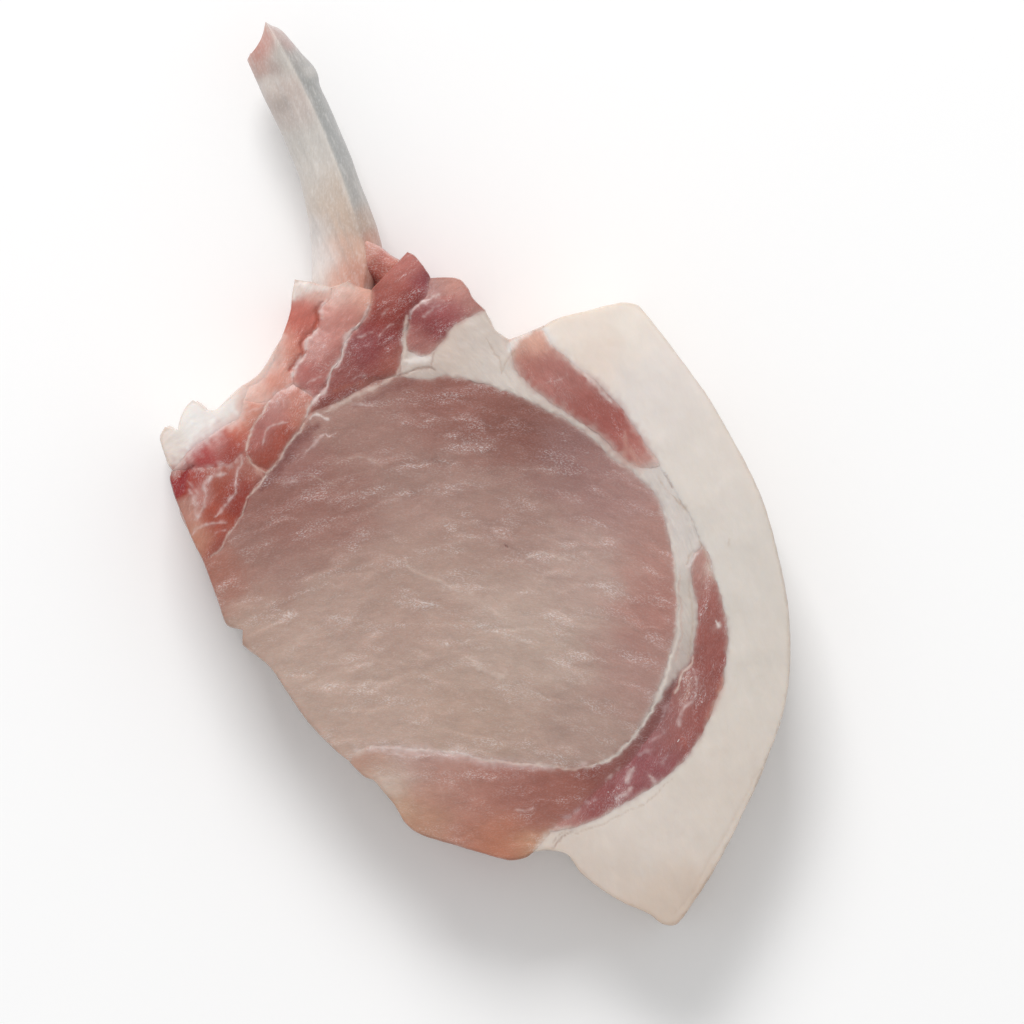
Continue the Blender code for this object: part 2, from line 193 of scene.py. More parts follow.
def even_line(points: Array, count: int) -> Array:
    """Place points evenly along a line.

    Args:
        points: The line's points, one row each.
        count: How many points to place.

    Returns:
        The placed points.
    """
    along = np.concatenate([[0.0], np.cumsum(np.linalg.norm(np.diff(points, axis=0), axis=1))])
    wanted = np.linspace(0.0, along[-1], count)
    return np.column_stack([np.interp(wanted, along, column) for column in points.T])


class Path:
    """A line in plan, open or closed, that tells distances and directions."""

    def __init__(self, points: Array, closed: bool = False) -> None:
        """Keep the line's stretches and its normals, which point inwards on a clockwise ring.

        Args:
            points: The line's points.
            closed: Whether the line runs back to its start.
        """
        self.points = points
        self.start = points if closed else points[:-1]
        self.run = (np.roll(points, -1, axis=0) - points) if closed else np.diff(points, axis=0)
        length = np.linalg.norm(self.run, axis=1)
        side = np.stack([self.run[:, 1], -self.run[:, 0]], axis=1) / length[:, None]
        turned = side + np.roll(side, 1, axis=0)
        self.normal = turned / np.linalg.norm(turned, axis=1)[:, None]
        self.along = np.concatenate([[0.0], np.cumsum(length)])

    def only(self, kept: Array) -> "Path":
        """Return the same line with only some of its stretches."""
        part = Path(self.points, len(self.start) == len(self.points))
        part.start, part.run = self.start[kept], self.run[kept]
        return part

    def measure(self, places: Array) -> tuple[Array, Array]:
        """Measure how far places lie from the line.

        Args:
            places: Points in plan, one row each.

        Returns:
            The distance of each place, and the number of its nearest stretch.
        """
        best = np.full(len(places), np.inf)
        which = np.zeros(len(places), int)
        x, y = np.ascontiguousarray(places[:, 0]), np.ascontiguousarray(places[:, 1])
        for k, ((x0, y0), (dx, dy)) in enumerate(zip(self.start, self.run)):
            px, py = x - x0, y - y0
            share = np.clip((px * dx + py * dy) / (dx * dx + dy * dy), 0.0, 1.0)
            distance = (px - share * dx) ** 2 + (py - share * dy) ** 2
            closer = distance < best
            best[closer] = distance[closer]
            which[closer] = k
        return np.sqrt(best), which

    def holds(self, places: Array) -> Array:
        """Tell which places lie inside a closed line."""
        inside = np.zeros(len(places), bool)
        for (x0, y0), (dx, dy) in zip(self.start, self.run):
            spans = (places[:, 1] >= min(y0, y0 + dy)) & (places[:, 1] < max(y0, y0 + dy))
            if dy and spans.any():
                inside[spans] ^= places[spans, 0] < x0 + (places[spans, 1] - y0) * dx / dy
        return inside


def node_outline(node: str, height: float) -> Array:
    """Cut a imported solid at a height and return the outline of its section.

    Args:
        node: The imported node's name.
        height: The height of the cut.

    Returns:
        The outline's corners, clockwise.
    """
    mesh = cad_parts[node].data
    mesh.calc_loop_triangles()
    corners = np.array([v.co for v in mesh.vertices]) / MM
    follows = {}
    for triangle in mesh.loop_triangles:
        above = [corners[k][2] > height for k in triangle.vertices]
        if len(set(above)) == 1:
            continue
        ends = {}
        for i in range(3):
            p, q = corners[triangle.vertices[i]], corners[triangle.vertices[(i + 1) % 3]]
            if (p[2] > height) != (q[2] > height):
                low, high = sorted((p, q), key=lambda c: c[2])
                cut = low + (high - low) * (height - low[2]) / (high[2] - low[2])
                ends[p[2] > height] = tuple(np.round(cut[:2], 3))
        if ends[True] != ends[False]:
            follows[ends[True]] = ends[False]
    chain = [next(iter(follows))]
    while follows.get(chain[-1]) not in (None, chain[0]) and len(chain) <= len(follows):
        chain.append(follows[chain[-1]])
    ring = np.array(chain)
    into = ring - np.roll(ring, 1, axis=0)
    out = np.roll(ring, -1, axis=0) - ring
    turn = np.abs(into[:, 0] * out[:, 1] - into[:, 1] * out[:, 0])
    ring = ring[turn > 0.01 * np.linalg.norm(into, axis=1) * np.linalg.norm(out, axis=1)]
    area = (ring[:, 0] * np.roll(ring[:, 1], -1) - np.roll(ring[:, 0], -1) * ring[:, 1]).sum()
    return ring if area < 0 else ring[::-1]


def trace_outline(filled: Array, low: Array, cell: float) -> Array:
    """Walk round the filled cells of a grid.

    Args:
        filled: Which cells are filled, row by row.
        low: The first cell's centre.
        cell: The cells' size.

    Returns:
        The longest walk's points, clockwise and smoothed.
    """
    padded = np.pad(filled, 1)
    follows: dict = {}
    for r, c in zip(*np.nonzero(padded)):
        for free, start, end in ((padded[r - 1, c], (r, c + 1), (r, c)),
                                 (padded[r + 1, c], (r + 1, c), (r + 1, c + 1)),
                                 (padded[r, c - 1], (r, c), (r + 1, c)),
                                 (padded[r, c + 1], (r + 1, c + 1), (r, c + 1))):
            if not free:
                follows.setdefault(start, []).append(end)
    best: list = []
    while follows:
        corner = next(iter(follows))
        walk = []
        while corner in follows:
            walk.append(corner)
            onward = follows[corner].pop()
            if not follows[corner]:
                del follows[corner]
            corner = onward
        best = max(best, walk, key=len)
    points = low + (np.array(best, float)[:, ::-1] - 1.5) * cell
    for _ in range(6):
        points = (np.roll(points, 1, axis=0) + 2 * points + np.roll(points, -1, axis=0)) / 4
    points = points[::3]
    area = (points[:, 0] * np.roll(points[:, 1], -1) - np.roll(points[:, 0], -1) * points[:, 1]).sum()
    return points if area < 0 else points[::-1]


def fill_ring(ring: Path, step: float, seed: int) -> tuple[Array, Array]:
    """Fill a closed line with an even net of triangles.

    Args:
        ring: The closed line, clockwise.
        step: Distance between the net's points.
        seed: Seed of the net's small disorder.

    Returns:
        The net's points, the line's own first, and its triangles.
    """
    low, high = ring.points.min(axis=0), ring.points.max(axis=0)
    xs = np.arange(low[0], high[0], step)
    net = np.concatenate([np.column_stack([xs + (k % 2) * step / 2, np.full(len(xs), y)])
                          for k, y in enumerate(np.arange(low[1], high[1], step * math.sqrt(3) / 2))])
    net += np.random.default_rng(seed).uniform(-0.12, 0.12, net.shape) * step
    net = net[ring.holds(net)]
    net = net[ring.measure(net)[0] > step * 0.6]
    points = np.vstack([ring.points, net])
    count = len(ring.points)
    edges = [(k, (k + 1) % count) for k in range(count)]
    found = delaunay_2d_cdt([Vector(p) for p in points.tolist()], edges, [list(range(count))[::-1]], 1, 1e-7)
    order = np.array([old[0] if old else -1 for old in found[3]])
    faces = order[np.array(found[2])]
    return points, faces[(faces >= 0).all(axis=1)]


def make_piece(name: str, vertices: Array, faces: list, material: bpy.types.Material, node: str, slot: str,
               **attributes: Array) -> bpy.types.Object:
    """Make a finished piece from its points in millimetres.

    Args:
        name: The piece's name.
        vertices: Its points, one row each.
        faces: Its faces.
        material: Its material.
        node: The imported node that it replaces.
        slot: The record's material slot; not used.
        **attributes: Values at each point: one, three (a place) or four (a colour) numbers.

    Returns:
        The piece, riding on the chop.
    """
    mesh = bpy.data.meshes.new(name)
    mesh.from_pydata((vertices * MM).tolist(), [], faces)
    mesh.shade_smooth()
    mesh.set_sharp_from_angle(angle=SHARP_ANGLE)
    for key, values in attributes.items():
        width = 1 if values.ndim == 1 else values.shape[1]
        kind, part = {1: ("FLOAT", "value"), 3: ("FLOAT_VECTOR", "vector"), 4: ("FLOAT_COLOR", "color")}[width]
        mesh.attributes.new(key, kind, "POINT").data.foreach_set(part, values.ravel().astype(np.float32))
    mesh.materials.append(material)
    piece = bpy.data.objects.new(name, mesh)
    bpy.context.scene.collection.objects.link(piece)
    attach(piece, "root")
    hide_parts(node)
    log.info("%s: %d points, %d faces", name, len(vertices), len(faces))
    return piece


# ---------------------------------------------------------------- finishes

@dataclass(frozen=True)
class Finish:
    """What a surface of meat, fat or sinew is made of and how it was cut.

    Attributes:
        name: The material's name.
        grain_long: Length of a fibre bundle along the grain.
        grain_fine: Width of a fibre bundle across the grain.
        grain_bump: Height of the grain's relief.
        mottle: How much the colour varies over a few millimetres.
        speck: How much it varies from fibre to fibre.
        roughness: Roughness of the surface under its moisture.
        scatter: Share of light that passes under the surface.
        scatter_depth: How deep red light reaches.
        scatter_tint: Depths of red, green and blue, against that.
        painted_glint: How much its wettest ripples are painted near-white in the colour, as painted glints where the
            film would catch light.
        veil: Light that the film adds everywhere, taken off the colour.
        wet: Share of the moist film.
        wet_roughness: Roughness of the film.
        ripple: Height of the film's ripples where it is wettest.
        ripple_long: Length of a ripple along the grain.
        ripple_fine: Width of a ripple.
    """

    name: str
    grain_long: float = 1.1
    grain_fine: float = 0.4
    grain_bump: float = 0.04
    mottle: float = 0.05
    speck: float = 0.05
    roughness: float = 0.5
    scatter: float = 0.2
    scatter_depth: float = 1.2
    scatter_tint: tuple = (1.0, 0.42, 0.28)
    painted_glint: float = 0.5
    veil: float = 0.03
    wet: float = 0.55
    wet_roughness: float = 0.24
    ripple: float = 0.2
    ripple_long: float = 0.42
    ripple_fine: float = 0.17

    def build(self) -> bpy.types.Material:
        """Build the material from the attributes that every layer carries.

        Returns:
            The material.
        """
        mat = bpy.data.materials.new(self.name)
        mat.use_nodes = True
        tree = mat.node_tree
        shader = tree.nodes["Principled BSDF"]
        tone = add(tree, "ShaderNodeAttribute", {"attribute_name": "tone"})
        grain = add(tree, "ShaderNodeAttribute", {"attribute_name": "grain"})
        wet = add(tree, "ShaderNodeAttribute", {"attribute_name": "wet"})

        def pattern(long: float, fine: float, detail: float, rough: float) -> bpy.types.NodeSocket:
            """Return noise that is stretched along the grain, for sizes in millimetres."""
            scaled = add(tree, "ShaderNodeVectorMath", {"operation": "MULTIPLY"}, i0=grain.outputs["Vector"],
                         i1=(1 / (long * MM), 1 / (fine * MM), 1 / (fine * MM)))
            return add(tree, "ShaderNodeTexNoise", Vector=scaled.outputs[0], Scale=1.0, Detail=detail,
                       Roughness=rough, Distortion=0.25).outputs[0]

        bundles = pattern(self.grain_long, self.grain_fine, 3.0, 0.6)
        clouds = pattern(5.0, 3.0, 4.0, 0.6)
        ripples = pattern(self.ripple_long, self.ripple_fine, 2.0, 0.55)
        shade = add(tree, "ShaderNodeMapRange", i0=clouds, i1=0.3, i2=0.7, i3=1 - self.mottle, i4=1 + self.mottle)
        fibre = add(tree, "ShaderNodeMapRange", i0=bundles, i1=0.3, i2=0.7, i3=1 - self.speck, i4=1 + self.speck)
        both = add(tree, "ShaderNodeMath", {"operation": "MULTIPLY"}, i0=shade.outputs[0], i1=fibre.outputs[0])
        varied = add(tree, "ShaderNodeVectorMath", {"operation": "SCALE"}, i0=tone.outputs["Color"],
                     Scale=both.outputs[0])
        # Painted glints: where the film is wettest, fine ripples mix the base colour towards near-white, painted
        # highlights in the colour.
        sparkle = add(tree, "ShaderNodeMapRange", i0=ripples, i1=0.48, i2=0.66, i3=0.0, i4=self.painted_glint)
        glint = add(tree, "ShaderNodeMath", {"operation": "MULTIPLY"}, i0=sparkle.outputs[0], i1=wet.outputs["Fac"])
        glint_mix = add(tree, "ShaderNodeMix", {"data_type": "RGBA"}, i0=glint.outputs[0], i6=varied.outputs[0],
                      i7=(*linear("#f2f3f5"), 1.0))
        tree.links.new(glint_mix.outputs[2], shader.inputs["Base Color"])

        relief = add(tree, "ShaderNodeBump", Strength=1.0, Distance=self.grain_bump * MM, Height=bundles)
        film = add(tree, "ShaderNodeBump", Strength=wet.outputs["Fac"], Distance=self.ripple * MM, Height=ripples,
                   Normal=relief.outputs[0])
        tree.links.new(relief.outputs[0], shader.inputs["Normal"])
        tree.links.new(film.outputs[0], shader.inputs["Coat Normal"])
        for name, value in (("Roughness", self.roughness), ("IOR", 1.4), ("Subsurface Weight", self.scatter),
                            ("Subsurface Radius", self.scatter_tint), ("Subsurface Scale", self.scatter_depth * MM),
                            ("Coat Weight", self.wet), ("Coat Roughness", self.wet_roughness), ("Coat IOR", 1.38)):
            shader.inputs[name].default_value = value
        return mat


MATERIALS: dict[str, bpy.types.Material] = {}


def material_for(finish: Finish) -> bpy.types.Material:
    """Return a finish's material, built once."""
    if finish.name not in MATERIALS:
        MATERIALS[finish.name] = finish.build()
    return MATERIALS[finish.name]


# Pale lean of the loin, knife-cut across the grain: silky, with a wet film that sparkles on every ridge, its glints
# partly painted into the colour
LEAN = Finish("moist_pale_lean_meat")
# Red lean of the blade side: closer, darker fibres, wetter, so its glints are sharper
RED_LEAN = Finish("moist_red_lean_meat", grain_long=1.6, grain_fine=0.4, mottle=0.07, speck=0.07, ripple=0.2,
                  wet_roughness=0.22, veil=0.046)
# Back fat, knife-cut: a waxy, even solid that light passes into, with a dull film of moisture
FAT = Finish("waxy_cut_back_fat", grain_long=2.5, grain_fine=1.4, grain_bump=0.03, mottle=0.02, speck=0.012, painted_glint=0.08,
             veil=0.0,
             roughness=0.55, scatter=0.35, scatter_depth=2.5, scatter_tint=(1.0, 0.75, 0.55), wet=0.25,
             wet_roughness=0.35, ripple=0.05)
# Soft fat and sinew between muscles: greasier than back fat, pulled into fine folds
SEAM_FAT = Finish("greasy_seam_fat", painted_glint=0.15, veil=0.03, grain_long=4.0, grain_fine=0.8, grain_bump=0.08, mottle=0.04, speck=0.03,
                  roughness=0.45, scatter=0.3, scatter_depth=1.6, scatter_tint=(1.0, 0.7, 0.5), wet=0.5,
                  wet_roughness=0.22, ripple=0.12)
# Silver skin: thin, white, slippery sheets with a sharp wet shine
SINEW = Finish("wet_silver_skin", painted_glint=0.2, grain_long=3.0, grain_fine=0.3, grain_bump=0.04, mottle=0.05, speck=0.04,
               roughness=0.35, scatter=0.3, scatter_depth=0.8, scatter_tint=(1.0, 0.7, 0.6), wet=0.8,
               wet_roughness=0.15, ripple=0.1)
# Scraped rib: damp, grey-white skin of the bone, streaked lengthwise, with a satin sheen
BONE = Finish("scraped_rib_bone", painted_glint=0.22, grain_long=3.2, grain_fine=0.5, grain_bump=0.03, mottle=0.05, speck=0.05,
              roughness=0.42, scatter=0.08, scatter_depth=0.8, scatter_tint=(1.0, 0.8, 0.6), wet=0.5,
              wet_roughness=0.2, ripple=0.07, ripple_long=1.0, ripple_fine=0.3)


# ---------------------------------------------------------------- strokes across the face

class Tone(Enum):
    """Colours that strokes are drawn in."""

    CHALK = "#e9e1dc"
    SINEW = "#e4d6d1"
    CREAM = "#d8c6bb"
    SHEATH = "#d9cfc6"
    FASCIA = "#c4a094"
    # pale fascia and membranes, and also the colour of painted glints and highlights
    PALE_SHEET_AND_GLINT = "#d6c1bd"
    # lilac of clusters of fine glints, painted as highlights
    LILAC_GLINT = "#bfa5a5"
    PEACH = "#d69a88"
    PURPLE = "#774744"
    # brown-grey painted into cracks and creases as their shade
    CREASE_SHADE = "#9d7f73"
    # dark brown of small pits, partly painted as the shade inside them
    PIT = "#7d5148"
    BLOOD = "#8c2a25"
    EMBER = "#ad5a4b"
    RUSSET = "#a5685a"
    TAN = "#b79f8c"


@dataclass(frozen=True)
class Stroke:
    """A soft line across the cut face: a sheet of sinew seen on edge, a fold or a cut.

    Attributes:
        points: The line in plan.
        width: Half its width.
        tone: Its colour.
        strength: How much it covers.
        lift: How far it stands above the face, or below it if negative.
        ragged: How broken it is, from 0, an even line, to 1.
    """

    points: tuple
    width: float
    tone: Tone
    strength: float
    lift: float = 0.0
    ragged: float = 0.5


STROKES = (
    # sheets of fascia and shaded bands first, so that crisp lines lie over them
    Stroke(((-36.7, 19.6), (-37.1, 17.6), (-38.4, 16.4), (-40.2, 15.6)), 0.85, Tone.PALE_SHEET_AND_GLINT, 0.6, 0.0, 0.7),
    Stroke(((-36.8, 17.9), (-35.2, 17.2), (-34, 16.3), (-32.9, 15.2)), 0.7, Tone.PALE_SHEET_AND_GLINT, 0.5, 0.0, 0.6),
    Stroke(((-41, 14.6), (-39.5, 13.9), (-37.8, 14.3)), 0.9, Tone.PALE_SHEET_AND_GLINT, 0.4, 0.0, 0.9),
    Stroke(((-45.2, 12.4), (-43.2, 13.2), (-41.6, 14.4)), 0.8, Tone.PALE_SHEET_AND_GLINT, 0.4, 0.0, 0.7),
    Stroke(((-31.6, 9.2), (-34, 7.8), (-36.3, 5.8), (-37.9, 3.2), (-39.6, 0.8), (-41.2, -1.2), (-42.9, -3.4)), 1.35,
           Tone.PURPLE, 0.85, 0.0, 0.2),
    Stroke(((-24, 13.3), (-20, 14.8), (-17, 17), (-13, 18)), 1.1, Tone.PURPLE, 0.5, 0.0, 0.3),
    Stroke(((-33.4, 14.2), (-33.8, 12), (-34.6, 9.4)), 0.75, Tone.FASCIA, 0.6, 0.0, 0.2),
    Stroke(((-45.4, 3.2), (-44.6, 1.6), (-43.4, 0.2), (-42.6, -1)), 0.6, Tone.FASCIA, 0.6, 0.0, 0.3),
    Stroke(((-56.8, 0.7), (-55, 0.5), (-52.5, 0.8), (-50.4, 1.4), (-49, 1)), 0.8, Tone.PALE_SHEET_AND_GLINT, 0.45, 0.0, 0.9),
    Stroke(((-48, 2), (-46.8, 3.2)), 0.8, Tone.PALE_SHEET_AND_GLINT, 0.35, 0.0, 0.9),
    Stroke(((-30.4, 37.5), (-28, 37.8), (-26, 38), (-24.5, 37)), 0.6, Tone.CREAM, 0.5, 0.0, 0.5),
    Stroke(((-21.8, 36), (-22, 34.6), (-22.6, 33.4)), 1.0, Tone.PEACH, 0.4, 0.0, 0.2),
    Stroke(((-28, 16.4), (-24.5, 17.4), (-20.5, 18.6)), 0.8, Tone.RUSSET, 0.6, 0.0, 0.2),
    # the blade strips' seams and edges
    Stroke(((-21.3, 33.6), (-21.7, 32), (-22.4, 30.9), (-23.4, 29.6), (-24.6, 28.4)), 0.3, Tone.SINEW, 0.7, 0.05, 0.3),
    Stroke(((-24.6, 28.4), (-25.7, 27.1), (-26.1, 25.4), (-26.5, 23.7), (-27.3, 22.3), (-28.6, 20.7)), 0.48,
           Tone.SINEW, 0.8, 0.06, 0.2),
    Stroke(((-28.6, 20.7), (-29.3, 18.9), (-29.7, 17.4), (-30.9, 15.7), (-32.3, 14.1), (-33.4, 12.6), (-33.8, 11.2)),
           0.42, Tone.SINEW, 0.8, 0.06, 0.25),
    Stroke(((-34.3, 9.8), (-34.9, 8.5), (-36.6, 6.6), (-37.9, 5.1), (-38.9, 3.1), (-40, 1.6), (-41.4, 0),
            (-42.7, -2), (-44.3, -3.7), (-45.4, -5)), 0.24, Tone.CREAM, 0.8, 0.05, 0.2),
    Stroke(((-45.4, -5), (-46, -6.3), (-46.4, -7.7), (-47.1, -9.3), (-48.1, -10.6), (-49.1, -12.3), (-50.3, -14),
            (-51.4, -15.7), (-53, -17)), 0.2, Tone.CREAM, 0.65, 0.04, 0.3),
    Stroke(((-13.5, 31.4), (-13.8, 29.8), (-14, 28.3), (-14.2, 26.6), (-14.1, 24.9), (-14.3, 23), (-15.1, 20.9),
            (-16, 19.2)), 0.36, Tone.CREAM, 0.8, 0.05, 0.2),
    Stroke(((-13.3, 29.4), (-13.6, 26.4), (-13.4, 24.6)), 0.16, Tone.CREASE_SHADE, 0.5, -0.05, 0.2),
    Stroke(((-16, 19.2), (-18, 17.9), (-20.3, 17.1), (-22.3, 16), (-24.3, 15), (-27.1, 13.7), (-30, 12.4)), 0.5,
           Tone.CREAM, 0.65, 0.04, 0.25),
    Stroke(((-25, 15), (-24.2, 13.8), (-22.5, 13.7), (-20.5, 13.3)), 0.22, Tone.PALE_SHEET_AND_GLINT, 0.5, 0.04, 0.9),
    Stroke(((-8.2, 35.6), (-9.4, 34.6), (-11.1, 33.8), (-12.3, 32.6), (-13.1, 31)), 0.34, Tone.PALE_SHEET_AND_GLINT, 0.8, 0.05, 0.4),
    Stroke(((-7.2, 36), (-8.6, 35.6)), 0.5, Tone.SINEW, 0.5, 0.05, 0.6),
    # fine glints on the top strip, painted as highlights
    Stroke(((-5, 33.9), (-7.2, 33.6), (-8.8, 32.6), (-10.2, 31.2)), 0.3, Tone.PALE_SHEET_AND_GLINT, 0.5, 0.03, 0.8),
    Stroke(((-4, 35.4), (-5, 34.8), (-6.2, 35.2)), 0.5, Tone.EMBER, 0.5, 0.0, 0.3),
    # fine glints and a highlight line on the inner strip, painted as highlights
    Stroke(((-24, 27), (-22.4, 27.4), (-20.6, 28.2)), 0.24, Tone.PALE_SHEET_AND_GLINT, 0.45, 0.03, 0.8),
    Stroke(((-19.4, 27), (-18.2, 28.6), (-16.4, 29.7)), 0.24, Tone.PALE_SHEET_AND_GLINT, 0.5, 0.03, 0.6),
    Stroke(((-25, 18.6), (-23.6, 19.4), (-21.8, 19.6)), 0.2, Tone.PALE_SHEET_AND_GLINT, 0.5, 0.03, 0.6),
    Stroke(((-17, 33.2), (-18.5, 31.6)), 0.25, Tone.PALE_SHEET_AND_GLINT, 0.4, 0.03, 0.8),
    # the lobed edge of the middle strip: a red crease, partly painted shade of the fold, and a white rim on the lobes,
    # partly sinew and partly painted highlight
    Stroke(((-30.6, 34.2), (-31.8, 32.4), (-31.7, 30.8), (-32.2, 28.9), (-33.8, 27.2), (-34.9, 25.8), (-34.7, 24),
            (-36, 22.3), (-37.1, 20.4)), 0.6, Tone.EMBER, 1.0, -0.3, 0.2),
    Stroke(((-29.7, 34.7), (-30.8, 33), (-30.7, 31)), 0.5, Tone.SINEW, 0.6, 0.12, 0.5),
    Stroke(((-31.4, 28.7), (-32.9, 27.4), (-34, 26), (-33.8, 24.8)), 0.55, Tone.SINEW, 0.7, 0.12, 0.4),
    Stroke(((-34, 23.6), (-35.1, 22.4), (-36.2, 20.8), (-36.6, 19.4)), 0.5, Tone.SINEW, 0.85, 0.12, 0.3),
    Stroke(((-33.7, 17.8), (-32.5, 18.4), (-31.2, 19)), 0.25, Tone.PALE_SHEET_AND_GLINT, 0.6, 0.03, 0.5),
    # the white upper end of the outer strip
    Stroke(((-36.6, 35), (-36.3, 37), (-35.6, 38.3), (-33.5, 37.7), (-31.5, 37.2), (-29.6, 37.2)), 0.9, Tone.CHALK,
           0.85, 0.05, 0.15),
    Stroke(((-36.4, 34.6), (-35.2, 35.8), (-33.4, 36.6)), 0.9, Tone.CHALK, 0.5, 0.0, 0.6),
    # the bundle beside the backbone
    Stroke(((-41.4, 14.6), (-42.1, 12.9), (-43.1, 11.1), (-44.1, 9.6), (-44.9, 8), (-45.4, 6.3), (-45.7, 4.6)), 0.25,
           Tone.CREAM, 0.75, 0.04, 0.25),
    Stroke(((-37.3, 10.1), (-38.9, 10), (-40, 9.8), (-41.1, 9.1), (-41.9, 8), (-42.2, 6.9), (-42.5, 5.7)), 0.25,
           Tone.PALE_SHEET_AND_GLINT, 0.6, 0.03, 0.4),
    Stroke(((-45.7, 4.6), (-45, 2.9), (-44.3, 1.4), (-43.1, 0.6), (-41.7, 0.1)), 0.24, Tone.CREAM, 0.5, 0.03, 0.3),
    Stroke(((-33, 10.6), (-32.3, 11.4), (-31.4, 11.7), (-30.3, 11.3), (-29.4, 10.7)), 0.26, Tone.SINEW, 0.85, 0.05, 0.3),
    Stroke(((-29.2, 7.2), (-30.1, 7.7), (-31.1, 6.7), (-32.3, 5.7), (-33.1, 4.9), (-34.1, 3.8)), 0.3, Tone.PALE_SHEET_AND_GLINT,
           0.8, 0.04, 0.6),
    # the tail
    Stroke(((-49.7, -0.2), (-51.2, -0.3), (-52.6, -0.7), (-53.7, -1.9), (-54.5, -2.7), (-54.3, -3.6), (-54.1, -4.8)),
           0.5, Tone.PALE_SHEET_AND_GLINT, 0.75, 0.03, 0.5),
    Stroke(((-54.1, -4.8), (-54.5, -6.9), (-55.1, -8.2), (-55.7, -9.5)), 0.42, Tone.PALE_SHEET_AND_GLINT, 0.65, 0.03, 0.5),
    Stroke(((-46.6, 2.9), (-46.9, 1.1), (-47.6, -0.6), (-47.9, -2.3), (-48, -4), (-49.1, -5.4), (-50.3, -6.9),
            (-51.1, -8), (-52.1, -8.7)), 0.36, Tone.PALE_SHEET_AND_GLINT, 0.7, 0.03, 0.6),
    Stroke(((-56.9, -12.7), (-55.7, -11.4), (-54.6, -10.7), (-53.1, -10.3), (-51.1, -10.1), (-50, -10.1)), 0.3,
           Tone.PALE_SHEET_AND_GLINT, 0.75, 0.03, 0.5),
    Stroke(((-57, -12.4), (-56, -11)), 0.7, Tone.FASCIA, 0.6, 0.0, 0.4),
    Stroke(((-52, -12.1), (-51.1, -11.7), (-49.9, -11.7)), 0.2, Tone.PALE_SHEET_AND_GLINT, 0.6, 0.04, 0.6),
    Stroke(((-57.6, -1.4), (-56.4, -3), (-55.6, -4.2)), 0.4, Tone.PALE_SHEET_AND_GLINT, 0.4, 0.0, 0.9),
    Stroke(((-57.2, -3.6), (-56.2, -6.2), (-55.9, -8.8)), 0.7, Tone.PALE_SHEET_AND_GLINT, 0.5, 0.0, 0.9),
    Stroke(((-56.6, 1.2), (-57.8, 0.2), (-58.1, -1.6), (-58.4, -3)), 0.7, Tone.BLOOD, 0.8, -0.3, 0.2),
    Stroke(((-58.6, 1.4), (-58.2, 2.2), (-57.2, 3.2)), 0.25, Tone.PALE_SHEET_AND_GLINT, 0.5, 0.04, 0.4),
    # the white sheet under the eye
    Stroke(((-24, -55.8), (-20, -55.2), (-15, -55.6), (-8.5, -56), (-3, -56.5), (2, -57.8), (8, -58.4), (15, -59)), 1.15,
           Tone.PALE_SHEET_AND_GLINT, 0.55, 0.0, 0.35),
    Stroke(((-21, -55), (-17.5, -55), (-12.5, -55.4), (-8.5, -55.5), (-4, -56), (1, -57.3)), 0.24, Tone.SINEW, 0.6,
           0.04, 0.5),
    Stroke(((1, -57.3), (5, -58), (11, -58.5), (16, -58.9), (21.5, -59.3), (24, -58.8)), 0.3, Tone.CREAM, 0.65, 0.04,
           0.4),
    Stroke(((-17.5, -56.4), (-13.5, -56.8), (-9, -56.7)), 0.25, Tone.PALE_SHEET_AND_GLINT, 0.5, 0.03, 0.7),
    Stroke(((-24.6, -56.8), (-23.2, -56)), 0.9, Tone.CREAM, 0.45, 0.0, 0.4),
    Stroke(((21, -59), (22, -58.4)), 0.5, Tone.PALE_SHEET_AND_GLINT, 0.6, 0.03, 0.6),
    # the cream sheath along the eye's right side
    Stroke(((24, -58.7), (25.5, -58), (27.6, -56.8), (30, -54.8), (32.3, -52.4), (34.1, -49.8), (35.6, -46.9)), 0.36,
           Tone.SHEATH, 0.9, 0.02, 0.05),
    Stroke(((35.6, -46.9), (37, -44.2), (38, -41.6), (38.8, -39.2), (39.4, -37)), 0.46, Tone.SHEATH, 0.9, 0.02, 0.05),
    Stroke(((38.6, -10.4), (39.7, -15), (40.2, -20), (40.5, -26), (40.6, -31), (40.2, -35), (39.4, -37)), 0.45,
           Tone.SHEATH, 0.7, 0.03, 0.05),
    Stroke(((40.9, -20), (41.1, -26), (41.3, -31), (41, -34.5), (40.1, -38)), 0.22, Tone.FASCIA, 0.5, -0.06, 0.3),
    Stroke(((42.9, -22), (43.3, -27), (43.4, -32), (43, -35.5), (42.5, -37.8)), 0.25, Tone.TAN, 0.5, -0.06, 0.3),
    # strands, sheets and flecks in the side's dark muscle, and lilac and pale patches of fine glints painted as
    # highlights
    Stroke(((43.8, -37.2), (43.2, -38.5), (42, -39.7), (41.2, -41), (40.8, -42.7), (40.3, -44)), 0.28, Tone.CREAM, 0.9,
           0.05, 0.15),
    Stroke(((39.5, -41.4), (39.3, -43), (38.8, -44.6)), 0.6, Tone.PURPLE, 0.7, 0.0, 0.2),
    Stroke(((42.6, -40.6), (42.8, -43), (42, -45.2)), 1.1, Tone.FASCIA, 0.5, 0.03, 0.4),
    Stroke(((43.7, -39.2), (44.3, -41.4), (44.4, -43.4), (43.6, -45.8)), 0.3, Tone.PALE_SHEET_AND_GLINT, 0.5, 0.04, 0.6),
    Stroke(((43.4, -45.8), (42.2, -46.9), (41.2, -48.2), (40.8, -50.4)), 0.5, Tone.PALE_SHEET_AND_GLINT, 0.7, 0.04, 0.5),
    Stroke(((41.5, -52.5), (42, -54.5)), 0.6, Tone.EMBER, 0.4, 0.0, 0.3),
    Stroke(((48.1, -29.8), (48.5, -30.5)), 0.42, Tone.CHALK, 0.9, 0.05, 0.0),
